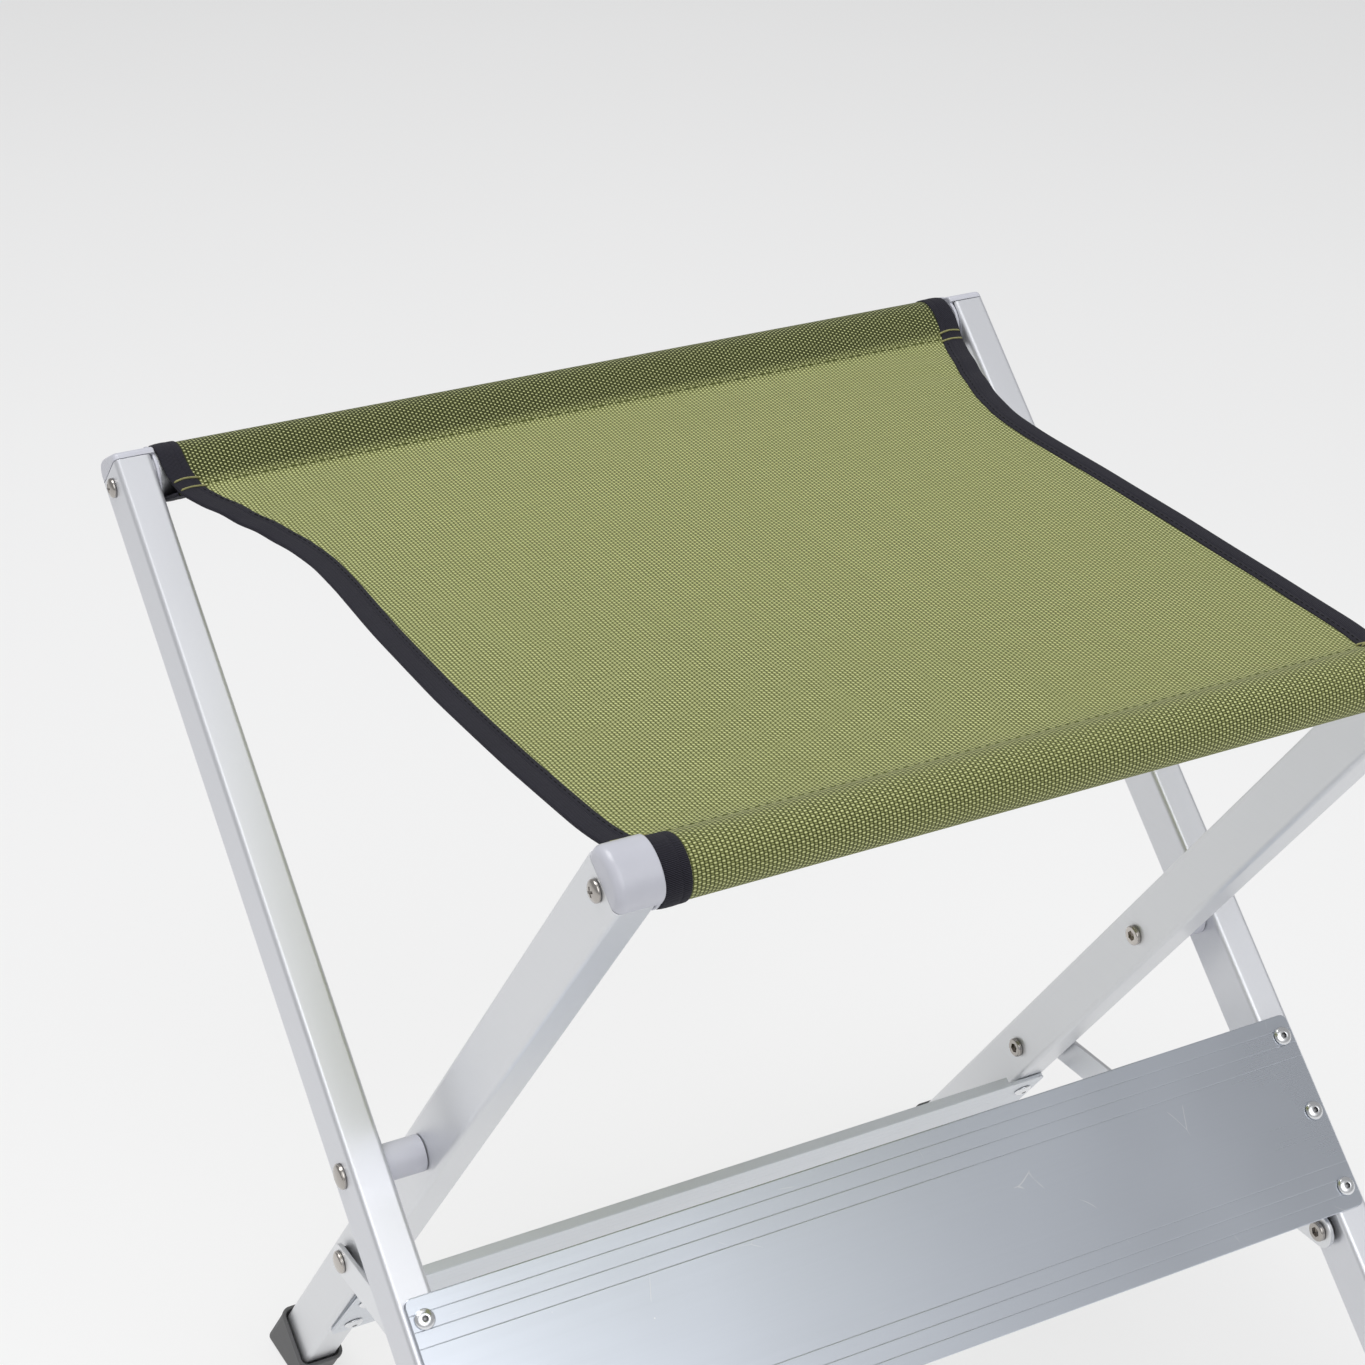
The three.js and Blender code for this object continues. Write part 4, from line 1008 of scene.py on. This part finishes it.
tapes = []
for side in ("right", "left"):
    v, uv, f = binding_mesh(side)
    o = sheet_object(f"edge_binding_{side}", v, uv, f, "tape_twill", 0.4, offset=0.0)
    bake_modifiers(o)
    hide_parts(f"seat_binding_{side}")
    tapes.append(o)


def path_index(length):
    return int(np.clip(np.searchsorted(PLEN, length), 1, len(PATH) - 2))


def stitch(points, r=0.28, seg=6):
    """One thread stitch through the points, round in section and closed at its ends."""
    p = np.array(points, float)
    t = np.gradient(p, axis=0); t /= np.linalg.norm(t, axis=1)[:, None]
    up = np.array([0.0, 0.0, 1.0])
    rings = []
    k = len(p)
    for i in range(k):
        a = np.cross(t[i], up); a /= max(np.linalg.norm(a), 1e-9)
        b = np.cross(a, t[i])
        rr = r * (0.45 if i in (0, k - 1) else 1.0)
        ang = np.arange(seg) * 2 * math.pi / seg
        rings.append(p[i] + rr * (np.cos(ang)[:, None] * a + np.sin(ang)[:, None] * b))
    return loft(rings)


def joined(name, parts, material, slot):
    verts, faces, base = [], [], 0
    for v, f in parts:
        verts.append(v); faces += [tuple(i + base for i in q) for q in f]; base += len(v)
    bm = mesh_of(np.concatenate(verts), faces)
    for face in bm.faces:
        face.smooth = True
    return piece(name, bm, material, slot, weighted=False, angle=80)


def near(y_target, lo, hi):
    k = [i for i in range(lo, hi) if True]
    return min(k, key=lambda i: abs(PATH[i][0] - y_target))


MID = len(PATH) // 2
i_rear = near(RY - SEAM + 0.5, len(PATH) // 8, MID)
i_front = near(FY + SEAM - 0.5, MID, len(PATH) - len(PATH) // 8)
seams = []
for nm, idx in (("rear_seam_stitches", i_rear), ("front_seam_stitches", i_front)):
    parts = []
    h = HALF[idx] - TAPE_W - 1.5
    x = -h
    k = 0
    while x + 3.2 < h:
        c = [on_cloth(x + 3.2 * t, idx, T / 2 + lift) for t, lift in ((0, -0.25), (0.2, 0.02), (0.5, 0.10), (0.8, 0.02), (1.0, -0.25))]
        parts.append(stitch(c, 0.26))
        x += 4.4
    seams.append((joined(nm, parts, "thread_olive", "seat_fabric"), idx))

# bartacks where each seam crosses the binding: two short bowed rows of thread
tacks = []
for side, sg in (("right", 1), ("left", -1)):
    for nm, idx, dirn in (("rear", i_rear, -1), ("front", i_front, 1)):
        parts = []
        for row, off in ((0, -2.4), (1, 2.9)):
            pts = []
            for t in np.linspace(0, 1, 15):
                ins = 0.3 + (TAPE_W + 1.4) * t
                along = PLEN[idx] + (off + (1.1 if row else 0.9) * math.sin(math.pi * t)) * (-1 if nm == "rear" else 1)
                i = int(np.searchsorted(PLEN, along)) - 1
                w = (along - PLEN[i]) / (PLEN[i + 1] - PLEN[i])
                ends = [np.array(on_cloth(sg * (HALF[q] - ins), q, T / 2 + 0.80 - (0.5 if t in (0.0, 1.0) else 0.0))) for q in (i, i + 1)]
                pts.append(ends[0] * (1 - w) + ends[1] * w)
            pts = np.array(pts)
            parts.append(stitch(pts, 0.46, 8))
        tacks.append((joined(f"bartack_{nm}_{side}", parts, "thread_khaki", "seat_fabric"), idx))

# the tape's own row of black stitches, near its inner edge
rows = []
for side, sg in (("right", 1), ("left", -1)):
    parts = []
    L = PLEN[i_rear] + 4
    while L + 2.6 < PLEN[i_front] - 4:
        pts = []
        for t, lift in ((0, -0.2), (0.3, 0.05), (0.7, 0.05), (1, -0.2)):
            s = (L + 2.4 * t)
            i = np.searchsorted(PLEN, s) - 1
            w = (s - PLEN[i]) / (PLEN[i + 1] - PLEN[i])
            ins = (TAPE_W - 1.9) * math.sqrt(1 + SLOPE[i] ** 2)
            a = np.array(on_cloth(sg * (HALF[i] - ins), i, T / 2 + 0.72 + lift)); b = np.array(on_cloth(sg * (HALF[i + 1] - ins), i + 1, T / 2 + 0.72 + lift))
            pts.append(a * (1 - w) + b * w)
        parts.append(stitch(pts, 0.2, 5))
        L += 3.4
    rows.append(joined(f"tape_stitches_{side}", parts, "thread_black", "binding_tape"))

for o in [seat, *tapes, *[s for s, _ in seams], *[t for t, _ in tacks], *rows]:
    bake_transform(o)
area = float(np.trapezoid(2 * (HALF - 1.1), PLEN)) if hasattr(np, "trapezoid") else float(np.trapz(2 * (HALF - 1.1), PLEN))

# ------------------------------------------------------------------ floor, light, camera
FLOOR_GLOW_NEAR, FLOOR_GLOW_FAR = 0.70, 0.475
bm = bmesh.new()
bmesh.ops.create_circle(bm, cap_ends=True, segments=96, radius=14.0)
me = bpy.data.meshes.new("floor"); bm.to_mesh(me); bm.free()
floor = bpy.data.objects.new("floor", me); bpy.context.scene.collection.objects.link(floor)
floor.location.z = 0.0
# painted light: the floor glows over a dark diffuse colour, brighter near the stool and dimmer far off, which fills in
# the stool's shadow
n = Nodes("floor_glow")
c = n.coords()
fade = n.new("VectorMath", op="LENGTH"); n.link(c, fade.inputs[0])
n.link(n.mix(n.range(n.noise(c, 1.5, 3.0), 0.3, 0.7, 0.0, 1.0), (0.215, 0.215, 0.216, 1), (0.225, 0.225, 0.226, 1)), n.p.inputs["Base Color"])
n.set("Roughness", 0.8); n.set("Specular IOR Level", 0.1)
n.set("Emission Color", (1, 1, 1, 1))
n.link(n.range(fade.outputs["Value"], 0.3, 3.6, FLOOR_GLOW_NEAR, FLOOR_GLOW_FAR), n.p.inputs["Emission Strength"])
me.materials.append(MATS["floor_glow"])

world = bpy.data.worlds.new("studio"); bpy.context.scene.world = world
world.use_nodes = True
wt = world.node_tree; wt.nodes.clear()
wo = wt.nodes.new("ShaderNodeOutputWorld"); bg = wt.nodes.new("ShaderNodeBackground")
tc = wt.nodes.new("ShaderNodeTexCoord"); sp = wt.nodes.new("ShaderNodeSeparateXYZ")
wt.links.new(tc.outputs["Generated"], sp.inputs[0])
# the softbox in front and above, falling off to a dimmer room
dot = wt.nodes.new("ShaderNodeVectorMath"); dot.operation = "DOT_PRODUCT"; dot.inputs[1].default_value = (-0.05, -0.705, 0.707)
wt.links.new(tc.outputs["Generated"], dot.inputs[0])
rm = wt.nodes.new("ShaderNodeValToRGB"); el_ = rm.color_ramp.elements
LOBE = [(0.0, 0.40), (0.76, 0.40), (0.79, 0.40), (0.82, 0.43), (0.86, 0.70), (0.90, 1.18), (0.935, 2.00), (1.0, 2.40)]
while len(el_) < len(LOBE):
    el_.new(0.5)
for e_, (p_, v_) in zip(el_, LOBE):
    e_.position = p_; q_ = v_ / 2.4; e_.color = (q_ * 0.985, q_ * 0.99, q_, 1)
wt.links.new(dot.outputs["Value"], rm.inputs[0])
wt.links.new(rm.outputs[0], bg.inputs[0])
bg.inputs[1].default_value = 2.4
wt.links.new(bg.outputs[0], wo.inputs[0])


def area_light(name, loc, target, size, power, color=(1, 1, 1)):
    l = bpy.data.lights.new(name, "AREA"); l.shape = "RECTANGLE"; l.size, l.size_y = size; l.energy = power; l.color = color
    o = bpy.data.objects.new(name, l); bpy.context.scene.collection.objects.link(o)
    o.location = loc
    o.rotation_mode = "QUATERNION"
    o.rotation_quaternion = (Vector(target) - Vector(loc)).to_track_quat("-Z", "Y")
    return o


area_light("key", (-0.7, 0.7, 2.9), (0, 0, 0.35), (1.5, 1.5), 37.0)

K = 1.1
az, el, roll = math.radians(29.2818), math.radians(27.0295), math.radians(1.2386)
back = Vector((-math.sin(az) * math.cos(el), -math.cos(az) * math.cos(el), math.sin(el)))
target = Vector((-67.106, 0, 194.897))
pos = (target + back * 1093.579) * K / 1000 + Vector((0, PY / 1000, PZ / 1000))
fwd = -back
right = fwd.cross(Vector((0, 0, 1))).normalized()
up = right.cross(fwd)
c, s = math.cos(roll), math.sin(roll)
r2 = c * right + s * up
u2 = -s * right + c * up
cam_data = bpy.data.cameras.new("camera")
cam = bpy.data.objects.new("camera", cam_data)
bpy.context.scene.collection.objects.link(cam)
cam.matrix_world = Matrix(((r2.x, u2.x, back.x, pos.x), (r2.y, u2.y, back.y, pos.y), (r2.z, u2.z, back.z, pos.z), (0, 0, 0, 1)))
cam_data.sensor_width = 36.0
cam_data.lens = 3104.438 / 1365 * 36
cam_data.shift_x = (682.5 - 673.981) / 1365
cam_data.shift_y = (622.237 - 682.5) / 1365
cam_data.clip_start, cam_data.clip_end = 0.01, 60.0
bpy.context.scene.camera = cam
bpy.context.scene.view_settings.view_transform = "Standard"
bpy.context.scene.view_settings.look = "None"

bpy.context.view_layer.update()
import json
